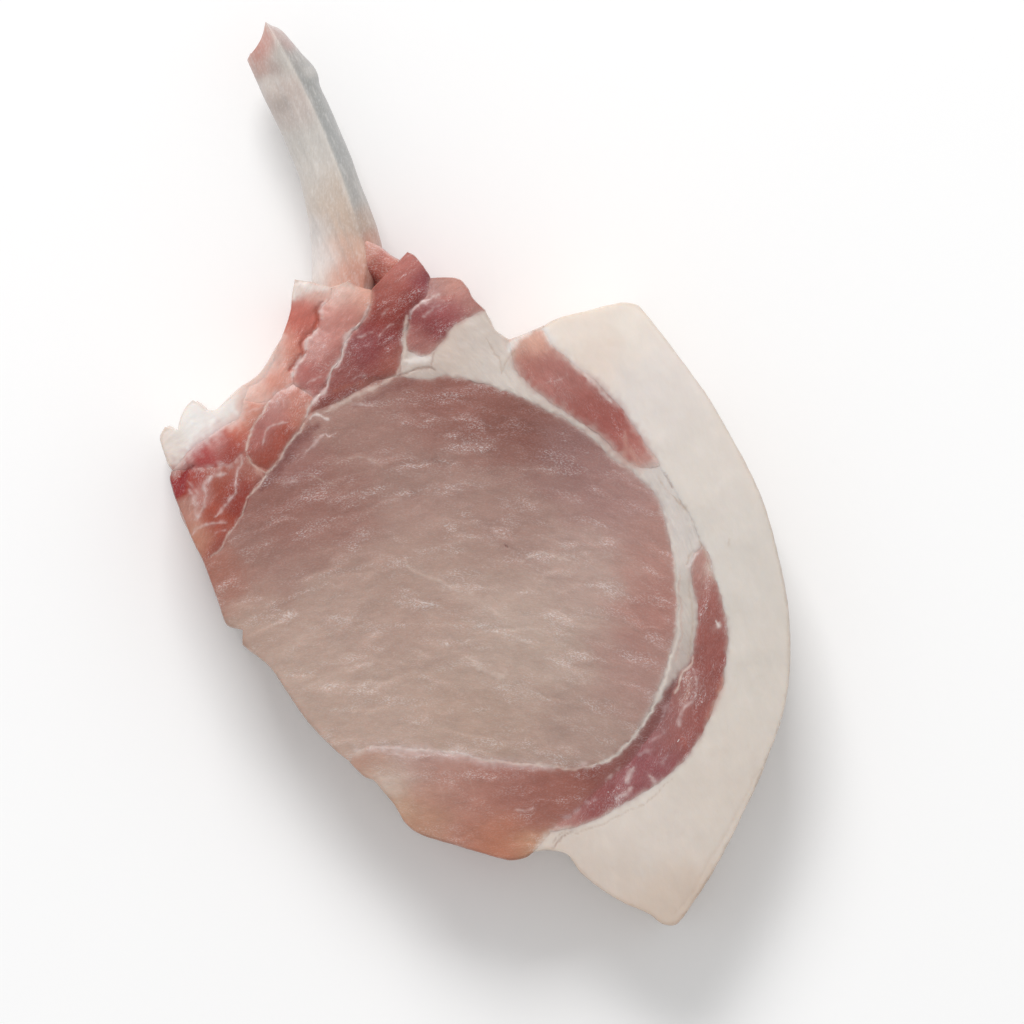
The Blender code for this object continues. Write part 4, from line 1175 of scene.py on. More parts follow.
LAYERS = [
    Layer("loin_eye", "loin_lean", LEAN, (
        Spot(-37, -6, "#976b62"), Spot(-22, 8, "#a37e74"), Spot(-6, 13, "#92635a"), Spot(9, 9, "#895b52", 7),
        Spot(20, 4, "#916c67"), Spot(29, -5, "#a8837c"), Spot(36, -16, "#b0867c", 6), Spot(37, -27, "#ab7c72", 7),
        Spot(34, -40, "#ab877e"), Spot(20, -52, "#ac9186", 10), Spot(2, -50, "#b4998b", 10),
        Spot(-18, -49, "#b99f92", 10), Spot(-34, -42, "#baa194", 9), Spot(-44, -30, "#b3988b", 7),
        Spot(-50, -22, "#a36d5f", 5), Spot(-40, -18, "#9d786e", 7), Spot(-28, -8, "#9b7369", 9),
        Spot(-10, -2, "#a5857b", 10), Spot(8, -9, "#a4847a", 9), Spot(-10, -22, "#b09488", 12),
        Spot(-28, -28, "#b4998d", 10), Spot(8, -34, "#b9a296", 12), Spot(22, -20, "#b59a90", 9),
        Spot(-36, 2, "#9a706a", 4)),
        grain=(24, -24), crown=0.35, crown_width=4.0, edge_drop=0.03, edge_share=0.0, edge_fade=0.5, waves=0.09,
        wave_length=5.2, lumps=0.15, step=0.31, seed=3),
    Layer("lower_muscle", "loin_lean", LEAN, (
        Spot(-20, -58, "#b48f7f", 3.5), Spot(-14, -59, "#b6988e", 4), Spot(-17, -62, "#c6b3a4", 4), Spot(-8, -60, "#ac877c"),
        Spot(-2, -66, "#b07e70"), Spot(8, -63, "#9c6a60"), Spot(4, -73, "#b5785f", 5), Spot(16, -64, "#9a6459"),
        Spot(26, -60, "#84504a", 6), Spot(34, -52, "#7f4f4b", 6), Spot(-10, -69, "#b88d74", 5), Spot(-15, -66.5, "#bc9a82", 3),
        Spot(12, -75, "#c49578", 3.5)), grain=(-6, 14), crown=0.15, edge_drop=0.02, edge_share=0.0, waves=0.06,
        lumps=0.16, wave_length=4.0, wet=0.6, seed=5),
    Layer("side_muscle", "dark_lean", RED_LEAN, (
        Spot(45, -19, "#b58f86", 4), Spot(48, -28, "#a36d66"), Spot(49, -36, "#965f59"), Spot(47, -44, "#935954"),
        Spot(43, -43, "#a0756f", 3.5), Spot(43, -52, "#a46a64", 5), Spot(38, -52, "#946a67", 4),
        Spot(33, -59, "#985f62"), Spot(24, -66, "#9a5f5d"), Spot(17, -70, "#bb8d84", 4)),
        grain=(50, 85), crown=0.25, edge_drop=0.03, edge_share=0.0, edge_fade=0.5, waves=0.07, wave_length=3.0,
        lumps=0.14, seed=7),
    Layer("cap_muscle", "rose_lean", RED_LEAN, (
        Spot(11, 27, "#d8a998", 4), Spot(11, 20, "#ae756c", 4), Spot(17, 19, "#b6827b", 5), Spot(22, 14, "#a16861"),
        Spot(28, 8, "#a4635d"), Spot(32, 4.5, "#b98279", 3.5), Spot(36, 2, "#c9a89e", 3)),
        grain=(-62, -50), crown=0.3, edge_drop=0.05, edge_share=0.0, edge_fade=1.2, waves=0.06, lumps=0.14,
        wet=0.35, seed=9),
    Layer("blade_strip_outer", "rose_lean", RED_LEAN, (
        Spot(-35.5, 37.5, "#dccbc2", 2.2), Spot(-33.5, 32, "#c67a6f", 3), Spot(-33.8, 28, "#c37064", 3),
        Spot(-37, 26, "#d39282", 2.6), Spot(-36.5, 22, "#cf8979", 2.4), Spot(-40, 22, "#e2b9ad", 2.6),
        Spot(-40, 18.5, "#d99888", 2.6), Spot(-44, 15.5, "#e1b5a8", 2.6), Spot(-46.5, 13.5, "#e0b3a6", 2.5),
        Spot(-31, 35.5, "#dcb5a9", 2.2)), grain=(60, 60), crown=0.5, edge_drop=0.12, seed=11, lumps=0.2, waves=0.05,
        edge_fade=0.35, edge_share=0.0, wet=0.5),
    Layer("blade_strip_middle", "rose_lean", RED_LEAN, (
        Spot(-27, 36.5, "#dfbfb4", 2.6), Spot(-22.5, 35, "#d8aa9b", 2.5), Spot(-26, 31, "#c2867b", 3.5),
        Spot(-29, 30, "#c9928a", 3), Spot(-31.5, 25, "#c99891", 3), Spot(-28, 23, "#b5736a", 3),
        Spot(-33.5, 18.5, "#b0706a", 3)),
        grain=(40, 40), crown=1.0, crown_width=1.8, edge_share=0.0, lumps=0.25, waves=0.05, seed=13, wet=0.6),
    Layer("blade_strip_inner", "dark_lean", RED_LEAN, (
        Spot(-14, 42, "#bd7c74", 3), Spot(-16.5, 37, "#b6736a", 4), Spot(-18, 32, "#8b4640", 4),
        Spot(-13.5, 34, "#803c3a", 3), Spot(-20, 25, "#8e5051", 4), Spot(-17, 22, "#a2665b", 3),
        Spot(-25, 19, "#945d59", 4), Spot(-30, 15, "#8c504a", 3), Spot(-10, 38, "#95565a", 3)),
        grain=(35, 35), crown=1.0, crown_width=2.2, edge_drop=0.1, edge_share=0.0, waves=0.07, lumps=0.2,
        wave_length=2.2, seed=15),
    Layer("blade_strip_top", "dark_lean", RED_LEAN, (
        Spot(-8, 37, "#bd948e", 2.6), Spot(-4, 37.5, "#cb978b", 3), Spot(-9, 30, "#8f5050", 4),
        Spot(-5, 32.5, "#a46263", 3), Spot(-11.5, 26, "#ac766f", 2.6), Spot(-1, 34, "#b7867f", 3),
        Spot(-8, 24.5, "#c39288", 2)),
        grain=(35, 35), crown=0.6, crown_width=1.8, edge_drop=0.15, edge_fade=0.5, waves=0.1, lumps=0.2,
        wave_length=2.2, seed=17),
    Layer("chine_bundle", "rose_lean", RED_LEAN, (
        Spot(-40, 12.5, "#b8837c", 2.6), Spot(-42.5, 7, "#ab716b", 3), Spot(-36.5, 13.5, "#c08071", 2.4),
        Spot(-38, 7, "#aa5d4f", 3), Spot(-41.5, 4, "#a05649", 3), Spot(-35, 11, "#c58373", 1.8)),
        grain=(60, 60), crown=0.6, crown_width=1.6, seed=19, edge_drop=0.15, waves=0.08, wet=0.6),
    Layer("chine_band", "dark_lean", RED_LEAN, (
        Spot(-52, 6, "#c48b85", 2), Spot(-46.5, 10.5, "#cc8d7c", 2.2), Spot(-55, 2.6, "#b05553", 2.6),
        Spot(-49, 5, "#a6554d", 2.5), Spot(-47, 8, "#c37262", 2.2), Spot(-58, 1.8, "#b48580", 1.6)),
        grain=(35, 35), crown=0.4, crown_width=1.6, edge_drop=0.04, edge_share=0.1, waves=0.03, lumps=0.08, wet=0.6,
        seed=21),
    Layer("tail_bundle", "rose_lean", RED_LEAN, (
        Spot(-57, -1.5, "#a8574f", 2), Spot(-59.3, -2.5, "#93382f", 2), Spot(-54.5, -4.5, "#b37b72", 1.8),
        Spot(-50.5, -2, "#a55e50", 3), Spot(-48, -4, "#944a43", 3), Spot(-52, -9.5, "#a4584a", 2.4),
        Spot(-55.5, -13, "#bb8673", 2.4), Spot(-46, 1, "#ab7166", 2.5), Spot(-51, -15, "#9c5950", 2.6),
        Spot(-57.5, -8, "#b58578", 2)),
        grain=(70, 60), crown=0.25, crown_width=1.8, seed=23, edge_share=0.1, edge_drop=0.05, lumps=0.18, waves=0.06,
        wet=0.6),
    Layer("chine_edge", "sinew", SEAM_FAT, (
        Spot(-61, 6, "#e2d6ce", 3), Spot(-57, 11, "#eee9e5", 4), Spot(-54, 8, "#f0eae6", 4), Spot(-50, 12.5, "#ede6e1", 4),
        Spot(-45, 16.5, "#e6cdc4", 3), Spot(-41, 22, "#e3cfc8", 4)),
        grain=(40, 40), crown=0.15, waves=0.03, wave_length=3.0, lumps=0.1, seed=25, edge_share=0.0, edge_fade=3.0,
        wet=0.4, edge_drop=0.04),
    Layer("fat_cap", "fat", FAT, (
        Spot(18, 29, "#e4d8ce", 5), Spot(25, 24, "#e0cfc3", 5), Spot(30, 31, "#e7ddd3"), Spot(38, 18, "#dfd6d0", 10), Spot(48, 2, "#dad1c9", 12),
        Spot(55, -20, "#d4ccc4", 14), Spot(56, -42, "#d4cbc2", 12), Spot(48, -62, "#d5cac0", 10),
        Spot(33, -72, "#d6cbc2", 8), Spot(38, -86, "#cebdaf", 7), Spot(26, -79, "#d1c3b8", 7)),
        grain=(-60, -80), crown=0.15, waves=0.0, lumps=0.05, step=0.38, seed=27, edge_drop=0.03, edge_share=0.0,
        edge_fade=0.4, wet=0.3),
    Layer("seam_fat", "fat", SEAM_FAT, (
        Spot(2, 26, "#cfc2b9", 5), Spot(-5, 25, "#d0bfb4", 4), Spot(-10, 21.5, "#c6b7ae", 4),
        Spot(4, 20, "#d3c8c0", 5), Spot(16, 11, "#cfc3bb", 6), Spot(28, 2, "#cbbeb6", 5), Spot(37, -3, "#d2c9c3", 5),
        Spot(42, -13, "#d2c9c3", 5), Spot(42, -28, "#c7bdb5", 6), Spot(40, -37, "#bdafa8", 5)),
        grain=(-30, -80), crown=0.15, waves=0.08, wave_length=2.6, seed=29, edge_drop=0.05, edge_share=0.0,
        edge_fade=0.45, lumps=0.14, wet=0.45),
]


# ---------------------------------------------------------------- strands and flecks

def new_tree(name: str, sizes: dict[str, float]) -> tuple[bpy.types.NodeTree, bpy.types.Node, bpy.types.Node]:
    """Start a Geometry Nodes tree with a geometry input and output and named sizes.

    Args:
        name: The tree's name.
        sizes: The named inputs and their values, in metres or plain numbers.

    Returns:
        The tree, its input node and its output node.
    """
    tree = bpy.data.node_groups.new(name, "GeometryNodeTree")
    tree.interface.new_socket("Geometry", in_out="INPUT", socket_type="NodeSocketGeometry")
    for label, value in sizes.items():
        kind = "NodeSocketInt" if isinstance(value, int) else "NodeSocketFloat"
        tree.interface.new_socket(label, in_out="INPUT", socket_type=kind).default_value = value
    tree.interface.new_socket("Geometry", in_out="OUTPUT", socket_type="NodeSocketGeometry")
    return tree, tree.nodes.new("NodeGroupInput"), tree.nodes.new("NodeGroupOutput")


def grow(tree: bpy.types.NodeTree, sizes: dict[str, float], host: bpy.types.Mesh) -> tuple[Array, list]:
    """Run a Geometry Nodes tree on a host mesh and read the result.

    Args:
        tree: The tree.
        sizes: Values for its named inputs.
        host: The mesh it starts from.

    Returns:
        The result's points in millimetres and its faces.
    """
    holder = bpy.data.objects.new(tree.name, host)
    bpy.context.scene.collection.objects.link(holder)
    modifier = holder.modifiers.new(tree.name, "NODES")
    modifier.node_group = tree
    for item in tree.interface.items_tree:
        if item.in_out == "INPUT" and item.name in sizes:
            modifier[item.identifier] = sizes[item.name]
    bpy.context.view_layer.update()
    grown = bpy.data.meshes.new_from_object(holder.evaluated_get(bpy.context.evaluated_depsgraph_get()))
    points = np.array([v.co for v in grown.vertices]) / MM
    faces = [tuple(p.vertices) for p in grown.polygons]
    bpy.data.objects.remove(holder)
    bpy.data.meshes.remove(grown)
    return points, faces


@dataclass
class Strands:
    """Thin cords of silver skin that lie half sunk along seams and folds.

    Attributes:
        node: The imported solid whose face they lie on.
        slot: The record's material slot.
        lines: The lines in plan, each with its radius.
        tone: Their colour.
        sink: How deep their middle lies, as a share of the radius.
        wiggle: How far they wander.
        spacing: Distance between their rings.
        seed: Seed of their wandering.
    """

    node: str
    slot: str
    lines: tuple
    tone: str = "#d8bfb6"
    sink: float = 0.7
    wiggle: float = 0.25
    spacing: float = 0.22
    seed: int = 1

    def tree(self) -> bpy.types.NodeTree:
        """Build the tree that turns the host's edges into wandering, tapering cords."""
        tree, enter, leave = new_tree("sinew_strands", {"Spacing": 0.0002, "Wiggle": 0.0002, "Seed": 1})
        curve = add(tree, "GeometryNodeMeshToCurve", Mesh=enter.outputs["Geometry"])
        fine = add(tree, "GeometryNodeResampleCurve", {"mode": "LENGTH"}, Curve=curve.outputs[0],
                   Length=enter.outputs["Spacing"])
        place = add(tree, "GeometryNodeInputPosition")
        noise = add(tree, "ShaderNodeTexNoise", {"noise_dimensions": "4D"}, Vector=place.outputs[0],
                    W=enter.outputs["Seed"], Scale=420.0, Detail=2.0)
        centred = add(tree, "ShaderNodeVectorMath", {"operation": "SUBTRACT"}, i0=noise.outputs["Color"],
                      i1=(0.5, 0.5, 0.5))
        shift = add(tree, "ShaderNodeVectorMath", {"operation": "SCALE"}, i0=centred.outputs[0],
                    Scale=enter.outputs["Wiggle"])
        flat = add(tree, "ShaderNodeVectorMath", {"operation": "MULTIPLY"}, i0=shift.outputs[0], i1=(1.0, 1.0, 0.35))
        moved = add(tree, "GeometryNodeSetPosition", Geometry=fine.outputs[0], Offset=flat.outputs[0])
        upright = add(tree, "GeometryNodeSetCurveNormal", {"mode": "Z_UP"}, Curve=moved.outputs[0])
        radius = add(tree, "GeometryNodeInputNamedAttribute", {"data_type": "FLOAT"}, Name="radius_m")
        along = add(tree, "GeometryNodeSplineParameter")
        hump = add(tree, "ShaderNodeMath", {"operation": "PINGPONG"}, i0=along.outputs["Factor"], i1=0.5)
        taper = add(tree, "ShaderNodeMapRange", {"interpolation_type": "SMOOTHSTEP"}, i0=hump.outputs[0], i1=0.0,
                    i2=0.12, i3=0.15, i4=1.0)
        thick = add(tree, "ShaderNodeMapRange", i0=noise.outputs[0], i1=0.3, i2=0.7, i3=0.45, i4=1.3)
        size = add(tree, "ShaderNodeMath", {"operation": "MULTIPLY"}, i0=taper.outputs[0], i1=thick.outputs[0])
        scale = add(tree, "ShaderNodeMath", {"operation": "MULTIPLY"}, i0=size.outputs[0], i1=radius.outputs[0])
        circle = add(tree, "GeometryNodeCurvePrimitiveCircle", Resolution=10, Radius=1.0)
        cords = add(tree, "GeometryNodeCurveToMesh", Curve=upright.outputs[0], i1=circle.outputs[0],
                    Scale=scale.outputs[0], Fill_Caps=True)
        plain = add(tree, "GeometryNodeRealizeInstances", Geometry=cords.outputs[0])
        dressed = add(tree, "GeometryNodeSetMaterial", Geometry=plain.outputs[0], Material=material_for(SINEW))
        tree.links.new(dressed.outputs[0], leave.inputs[0])
        return tree

    def build(self, body: Slice) -> bpy.types.Object:
        """Lay the cords on the cut face and dress them.

        Args:
            body: The slice whose faces they lie on.

        Returns:
            The finished piece.
        """
        places, edges, radii = [], [], []
        for line, radius in self.lines:
            smooth = smooth_line(line, 0.4)
            edges += [(len(places) + k, len(places) + k + 1) for k in range(len(smooth) - 1)]
            places += smooth.tolist()
            radii += [radius] * len(smooth)
        faces_near = np.vstack(list(body.tops.values()))
        tree = KDTree(len(faces_near))
        for k, point in enumerate(faces_near):
            tree.insert((point[0], point[1], 0.0), k)
        tree.balance()
        level = [np.mean([faces_near[k][2] for _, k, _ in tree.find_n((x, y, 0.0), 3)]) for x, y in places]
        radii = np.array(radii)
        host = bpy.data.meshes.new("strand_lines")
        host.from_pydata(np.column_stack([places, np.array(level) - self.sink * radii]) * MM, edges, [])
        host.attributes.new("radius_m", "FLOAT", "POINT").data.foreach_set("value", radii * MM)
        points, faces = grow(self.tree(), {"Spacing": self.spacing * MM, "Wiggle": self.wiggle * MM,
                                           "Seed": self.seed}, host)
        tone = np.tile(linear(self.tone), (len(points), 1)) * (1 + 0.1 * GradientNoise(self.seed)(*points.T))[:, None]
        return make_piece(self.node + "_strands", points, faces, material_for(SINEW), self.node, self.slot,
                          tone=with_alpha(tone), wet=np.full(len(points), 0.7), grain=points * MM)


@dataclass
class Flecks:
    """Small flecks of fat scattered in the red muscle, half sunk in its face.

    Attributes:
        node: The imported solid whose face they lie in.
        slot: The record's material slot.
        density: How many there are per square metre.
        size: Radius of a fleck.
        tone: Their colour.
        seed: Seed of their places.
    """

    node: str
    slot: str
    density: float = 22000.0
    size: float = 0.16
    tone: str = "#d3b9b2"
    seed: int = 5

    def tree(self) -> bpy.types.NodeTree:
        """Build the tree that scatters flattened grains over the host's faces."""
        tree, enter, leave = new_tree("fat_flecks", {"Density": 1.0, "Size": 0.0002, "Seed": 1})
        spots = add(tree, "GeometryNodeDistributePointsOnFaces", Mesh=enter.outputs["Geometry"],
                    Density=enter.outputs["Density"], Seed=enter.outputs["Seed"])
        grain = add(tree, "GeometryNodeMeshIcoSphere", Radius=enter.outputs["Size"], Subdivisions=2)
        turn = add(tree, "FunctionNodeRandomValue", {"data_type": "FLOAT_VECTOR"}, i0=(0.0, 0.0, 0.3),
                   i1=(0.0, 0.0, 1.7), Seed=enter.outputs["Seed"])
        shape = add(tree, "FunctionNodeRandomValue", {"data_type": "FLOAT_VECTOR"}, i0=(0.7, 0.4, 0.35),
                    i1=(2.6, 1.0, 0.5), Seed=enter.outputs["Seed"])
        laid = add(tree, "GeometryNodeInstanceOnPoints", Points=spots.outputs[0], Instance=grain.outputs[0],
                   Rotation=turn.outputs[0], Scale=shape.outputs[0])
        plain = add(tree, "GeometryNodeRealizeInstances", Geometry=laid.outputs[0])
        dressed = add(tree, "GeometryNodeSetMaterial", Geometry=plain.outputs[0], Material=material_for(SEAM_FAT))
        tree.links.new(dressed.outputs[0], leave.inputs[0])
        return tree

    def build(self, body: Slice) -> bpy.types.Object:
        """Scatter the flecks and dress them.

        Args:
            body: The slice whose face they lie in.

        Returns:
            The finished piece.
        """
        top = body.tops[self.node]
        ring = Path(smooth_line(body.rings[self.node].points, 0.8, closed=True), True)
        inside = top[ring.holds(top[:, :2]) & (ring.measure(top[:, :2])[0] > 1.0)][::7]
        found = delaunay_2d_cdt([Vector(p[:2]) for p in inside.tolist()], [], [], 0, 1e-7)
        order = np.array([old[0] if old else 0 for old in found[3]])
        faces = order[np.array(found[2])]
        longest = np.max([np.linalg.norm(inside[faces[:, k], :2] - inside[faces[:, k - 1], :2], axis=1)
                          for k in range(3)], axis=0)
        host = bpy.data.meshes.new("fleck_face")
        host.from_pydata(inside * MM, [], faces[longest < 2.5].tolist())
        points, faces = grow(self.tree(), {"Density": self.density, "Size": self.size * MM, "Seed": self.seed}, host)
        tone = np.tile(linear(self.tone), (len(points), 1)) * (1 + 0.12 * GradientNoise(self.seed)(*points.T))[:, None]
        return make_piece(self.node + "_flecks", points, faces, material_for(SEAM_FAT), self.node, self.slot,
                          tone=with_alpha(tone), wet=np.full(len(points), 0.5), grain=points * MM)


STRANDS = (
    Strands("blade_strip_inner", "dark_lean", (
        (((-21.7, 32), (-23.4, 29.6), (-24.6, 28.4), (-25.7, 27.1), (-26.1, 25.4), (-26.5, 23.7), (-27.3, 22.3),
          (-28.6, 20.7), (-29.3, 18.9), (-29.7, 17.4), (-30.9, 15.7), (-32.3, 14.1), (-33.4, 12.6)), 0.2),
        (((-13.8, 29.8), (-14, 28.3), (-14.2, 26.6), (-14.1, 24.9), (-14.3, 23), (-15.1, 20.9)), 0.16)), seed=3),
)


# ---------------------------------------------------------------- rib and web

@dataclass
class Rib:
    """The rib bone: a scraped, ridged shaft with a sawn, hollowed tip.

    Attributes:
        left: Its left outline in plan, from past the tip to the base in the meat.
        right: Its right outline.
        ridge: The crest between the pale face and the right face, which is painted grey and darker as its shade.
        saw: The sawn face in plan, from its lower to its upper corner.
        base_z: Height of its underside.
        thick: Its height.
        tip_lift: How much higher the tip lies.
        hollow: How far the sawn face is scooped out.
        stations: How many rings of points it has.
        around: How many points a ring has.
    """

    left: tuple = ((-49.5, 92), (-46.3, 84), (-43.3, 77), (-37.3, 64.5), (-34.3, 55), (-33.1, 47), (-32.9, 38),
                   (-32, 29))
    right: tuple = ((-43.4, 92.4), (-41.6, 90.4), (-39.3, 89.2), (-37.1, 86.9), (-35, 84.4), (-32.5, 81.8),
                    (-31.7, 80), (-31.4, 78.3), (-29.5, 74), (-25.6, 65),
                    (-22.5, 56.5), (-19.5, 48.5), (-18.7, 44), (-19.5, 38), (-20.5, 29))
    ridge: tuple = ((-43, 92), (-38.5, 84.5), (-35, 78), (-31, 69.5), (-27, 59.5), (-24, 50.5), (-22, 43.5),
                    (-22.5, 38), (-23.5, 29))
    saw: tuple = ((-46.2, 83.4), (-41.9, 90.4))
    base_z: float = 6.5
    thick: float = 10.5
    tip_lift: float = 1.5
    hollow: float = 0.9
    stations: int = 210
    around: int = 96

    def section(self, left: Array, right: Array, ridge: Array, base: float) -> Array:
        """Return a ring of points round the shaft, from the ridge over its right side.

        Args:
            left: The left outline's point.
            right: The right outline's point.
            ridge: The ridge's point.
            base: Height of the underside.

        Returns:
            The ring's points, one row each.
        """
        def corner(start: Array, end: Array, share: float, level: float) -> list:
            """Return a corner between two points, at a share of the shaft's height."""
            return [*(start + (end - start) * share), base + level * self.thick]

        shape = [corner(ridge, right, 0.0, 1.04), corner(ridge, right, 0.5, 0.93), corner(ridge, right, 0.85, 0.72),
                 corner(right, left, 0.0, 0.45), corner(right, left, 0.15, 0.12), corner(right, left, 0.55, -0.03),
                 corner(left, right, 0.15, 0.1), corner(left, right, 0.0, 0.5), corner(left, ridge, 0.12, 0.77),
                 corner(left, ridge, 0.4, 0.92), corner(left, ridge, 0.75, 0.99), corner(left, ridge, 1.0, 1.04)]
        return even_line(smooth_line(shape, 0.15), self.around + 1)[:-1]

    def shaft(self) -> tuple[Array, Array]:
        """Loft the shaft from its base to the sawn face.

        Returns:
            The rings' points, and how far along the shaft each ring's points lie.
        """
        count = 160
        sides = [even_line(smooth_line(line, 0.5), count) for line in (self.left, self.right, self.ridge)]
        rings = np.array([self.section(sides[0][k], sides[1][k], sides[2][k],
                                       self.base_z + self.tip_lift * (1 - k / (count - 1)) ** 2)
                          for k in range(count)])[::-1]
        low, high = (np.array(p) for p in self.saw)
        across = (high - low) / np.linalg.norm(high - low)
        outward = np.array((-across[1], across[0]))
        place = ((rings[..., :2] - low) @ across) / np.linalg.norm(high - low)
        beyond = (rings[..., :2] - low) @ outward + (self.base_z + self.thick - rings[..., 2]) * 0.12
        beyond += self.hollow * np.sin(math.pi * np.clip(place, 0.0, 1.0))
        ends = np.argmax(beyond > 0, axis=0)
        before = beyond[ends - 1, np.arange(self.around)]
        after = beyond[ends, np.arange(self.around)]
        reach = ends - 1 + before / (before - after)
        level = np.linspace(0.0, 1.0, self.stations)[:, None] * reach[None, :]
        floor = np.minimum(level.astype(int), count - 2)
        part = (level - floor)[..., None]
        column = np.arange(self.around)
        return rings[floor, column] * (1 - part) + rings[floor + 1, column] * part, level

    def build(self) -> bpy.types.Object:
        """Build the bone with its worn skin and its marrow.

        Returns:
            The finished piece.
        """
        rings, level = self.shaft()
        rough = GradientNoise(61)
        middle = rings.mean(axis=1, keepdims=True)
        out = rings - middle
        out /= np.linalg.norm(out, axis=2, keepdims=True)
        turn = np.arange(self.around) / self.around
        around = np.stack([np.cos(turn * 2 * math.pi), np.sin(turn * 2 * math.pi)], axis=1) * 4.0
        along = level * 0.55
        bump = 0.14 * rough(along / 9, around[:, 0] / 2.6, around[:, 1] / 2.6)
        bump = bump + 0.05 * rough(along / 3, around[:, 0] / 1.1, around[:, 1] / 1.1)
        fade = smoothstep(0.0, 0.03, 1 - level / level.max(axis=0))
        shaft = rings + out * (bump * fade)[..., None]

        tip, centre = shaft[-1], shaft[-1].mean(axis=0)
        inside = (shaft[-1] - shaft[-6]).mean(axis=0)
        inside /= np.linalg.norm(inside)
        shrink = np.linspace(1.0, 0.0, 16)[1:]
        marrow = [centre + (tip - centre) * r - inside * (1.5 * smoothstep(1.0, 0.55, np.array(r))) for r in shrink[:-1]]
        pits = [0.35 * rough(ring[:, 0] / 0.9, ring[:, 1] / 0.9, ring[:, 2] / 0.9) for ring in marrow]
        marrow = np.array([ring + inside * pit[:, None] for ring, pit in zip(marrow, pits)])
        points = np.vstack([shaft.reshape(-1, 3), marrow.reshape(-1, 3), marrow[-1].mean(axis=0)[None],
                            shaft[0].mean(axis=0)[None]])
        total = self.stations + len(marrow)
        a = np.arange((total - 1) * self.around)
        b = a - a % self.around + (a + 1) % self.around
        faces = np.stack([a, a + self.around, b + self.around, b], axis=1).tolist()
        last, first = (total - 1) * self.around, len(points) - 2
        for k in range(self.around):
            m = (k + 1) % self.around
            faces.append([last + k, first, last + m])
            faces.append([k, m, first + 1])
        tone = self.paint(points, rough)
        core = np.zeros(len(points))
        core[self.stations * self.around:-1] = 1.0
        core[:-2].reshape(total, self.around)[self.stations - 1:self.stations + 1] = 0.0
        speckle = 0.5 + 0.5 * rough(points[:, 0] / 0.7, points[:, 1] / 0.7, points[:, 2] / 0.7)
        pulp = np.array(linear("#c07a70")) * (1 - speckle)[:, None] + np.array(linear("#d8a79b")) * speckle[:, None]
        tone += core[:, None] * (pulp - tone)
        spread = np.concatenate([np.tile(along.reshape(-1), 1), np.full(len(points) - along.size, along.max())])
        grain = np.column_stack([spread, points[:, 0], points[:, 2]]) * MM
        return make_piece("rib_bone_skin", points, faces, material_for(BONE), "rib_bone", "bone",
                          tone=with_alpha(tone), wet=np.full(len(points), 0.6), grain=grain)

    def paint(self, points: Array, rough: GradientNoise) -> Array:
        """Colour the bone: pale left face, right face painted grey and darker as its shade, pink tip, blushing base and
        a painted highlight along the ridge.

        Args:
            points: The bone's points.
            rough: The bone's noise.

        Returns:
            The linear colour of each point.
        """
        plan = points[:, :2]
        tone = blend_spots((
            Spot(-45.8, 83.8, "#cfada2", 1.2), Spot(-43.2, 88.6, "#d3b3a6", 1.0), Spot(-43.9, 84.6, "#c98e82", 2.2),
            Spot(-42.6, 86.6, "#cf9d93", 2.2), Spot(-42.9, 81.6, "#c0a096", 1.8), Spot(-40.5, 81.4, "#a9958e", 1.3),
            Spot(-41.3, 78.2, "#cfc5be", 1.8), Spot(-39.3, 84, "#bfb8b1", 3), Spot(-38.4, 74.6, "#a09690", 1.6),
            Spot(-39, 76.5, "#c2b3ab", 2.5), Spot(-36.8, 71.5, "#c0b3ac", 3), Spot(-36, 66, "#c3beb8", 4),
            Spot(-33.5, 60, "#cbc4bd", 5), Spot(-28.5, 56, "#c2b1a3", 4), Spot(-27.5, 51, "#c8b2a1", 3), Spot(-24, 50, "#b6a294", 2),
            Spot(-31.5, 49, "#cfc8c4", 2.5), Spot(-30, 43, "#dbd3cf", 2.8), Spot(-26.2, 45, "#cba896", 3),
            Spot(-25.2, 41, "#c2907f", 2.4), Spot(-32, 40, "#dcd3ce", 2.4), Spot(-28, 39.5, "#cfa797", 2.0)), plan)
        ridge = Path(smooth_line(self.ridge, 1.0))
        which = ridge.measure(plan)[1]
        offset, run = plan - ridge.start[which], ridge.run[which]
        side = (run[:, 0] * offset[:, 1] - run[:, 1] * offset[:, 0]) / np.linalg.norm(run, axis=1)
        x, y, z = points.T
        streak = rough((x + 0.45 * y) / 0.9, y / 14, z / 2)
        fleck = rough((x + 0.45 * y) / 0.55, y / 3.5, z / 2 + 7)
        # The right face is painted grey and darker: painted shade of the face turned from the light.
        grey = blend_spots((Spot(-39.6, 88.4, "#b89f98", 1.8), Spot(-37.2, 86.2, "#b8948d", 1.4),
                            Spot(-37, 84, "#a29d99", 3), Spot(-33.4, 80.5, "#bfbab5", 1.0),
                            Spot(-34, 76, "#9c9b98", 4), Spot(-29, 65, "#a1a19f", 6), Spot(-25.5, 57, "#a6a39f", 4),
                            Spot(-22, 51, "#b09c8f", 2.4), Spot(-20, 46, "#b98e7e", 2.4)), plan)
        tone = tone + smoothstep(-0.15, 0.5, side)[:, None] * (grey - tone)
        # Darker and paler streaks and pale flecks along the grain; the last colour is a painted highlight along the
        # ridge.
        for colour, cover in (("#a5a09e", 0.22 * smoothstep(0.1, 0.7, streak)),
                              ("#e0dad4", 0.16 * smoothstep(0.1, 0.7, -streak)),
                              ("#e8e3de", 0.2 * smoothstep(0.35, 0.7, fleck)),
                              ("#e2dcd4", 0.35 * np.exp(-((side + 0.1) / 0.4) ** 2) * smoothstep(48, 56, y))):
            tone = tone + np.asarray(cover)[:, None] * (np.array(linear(colour)) - tone)
        return tone


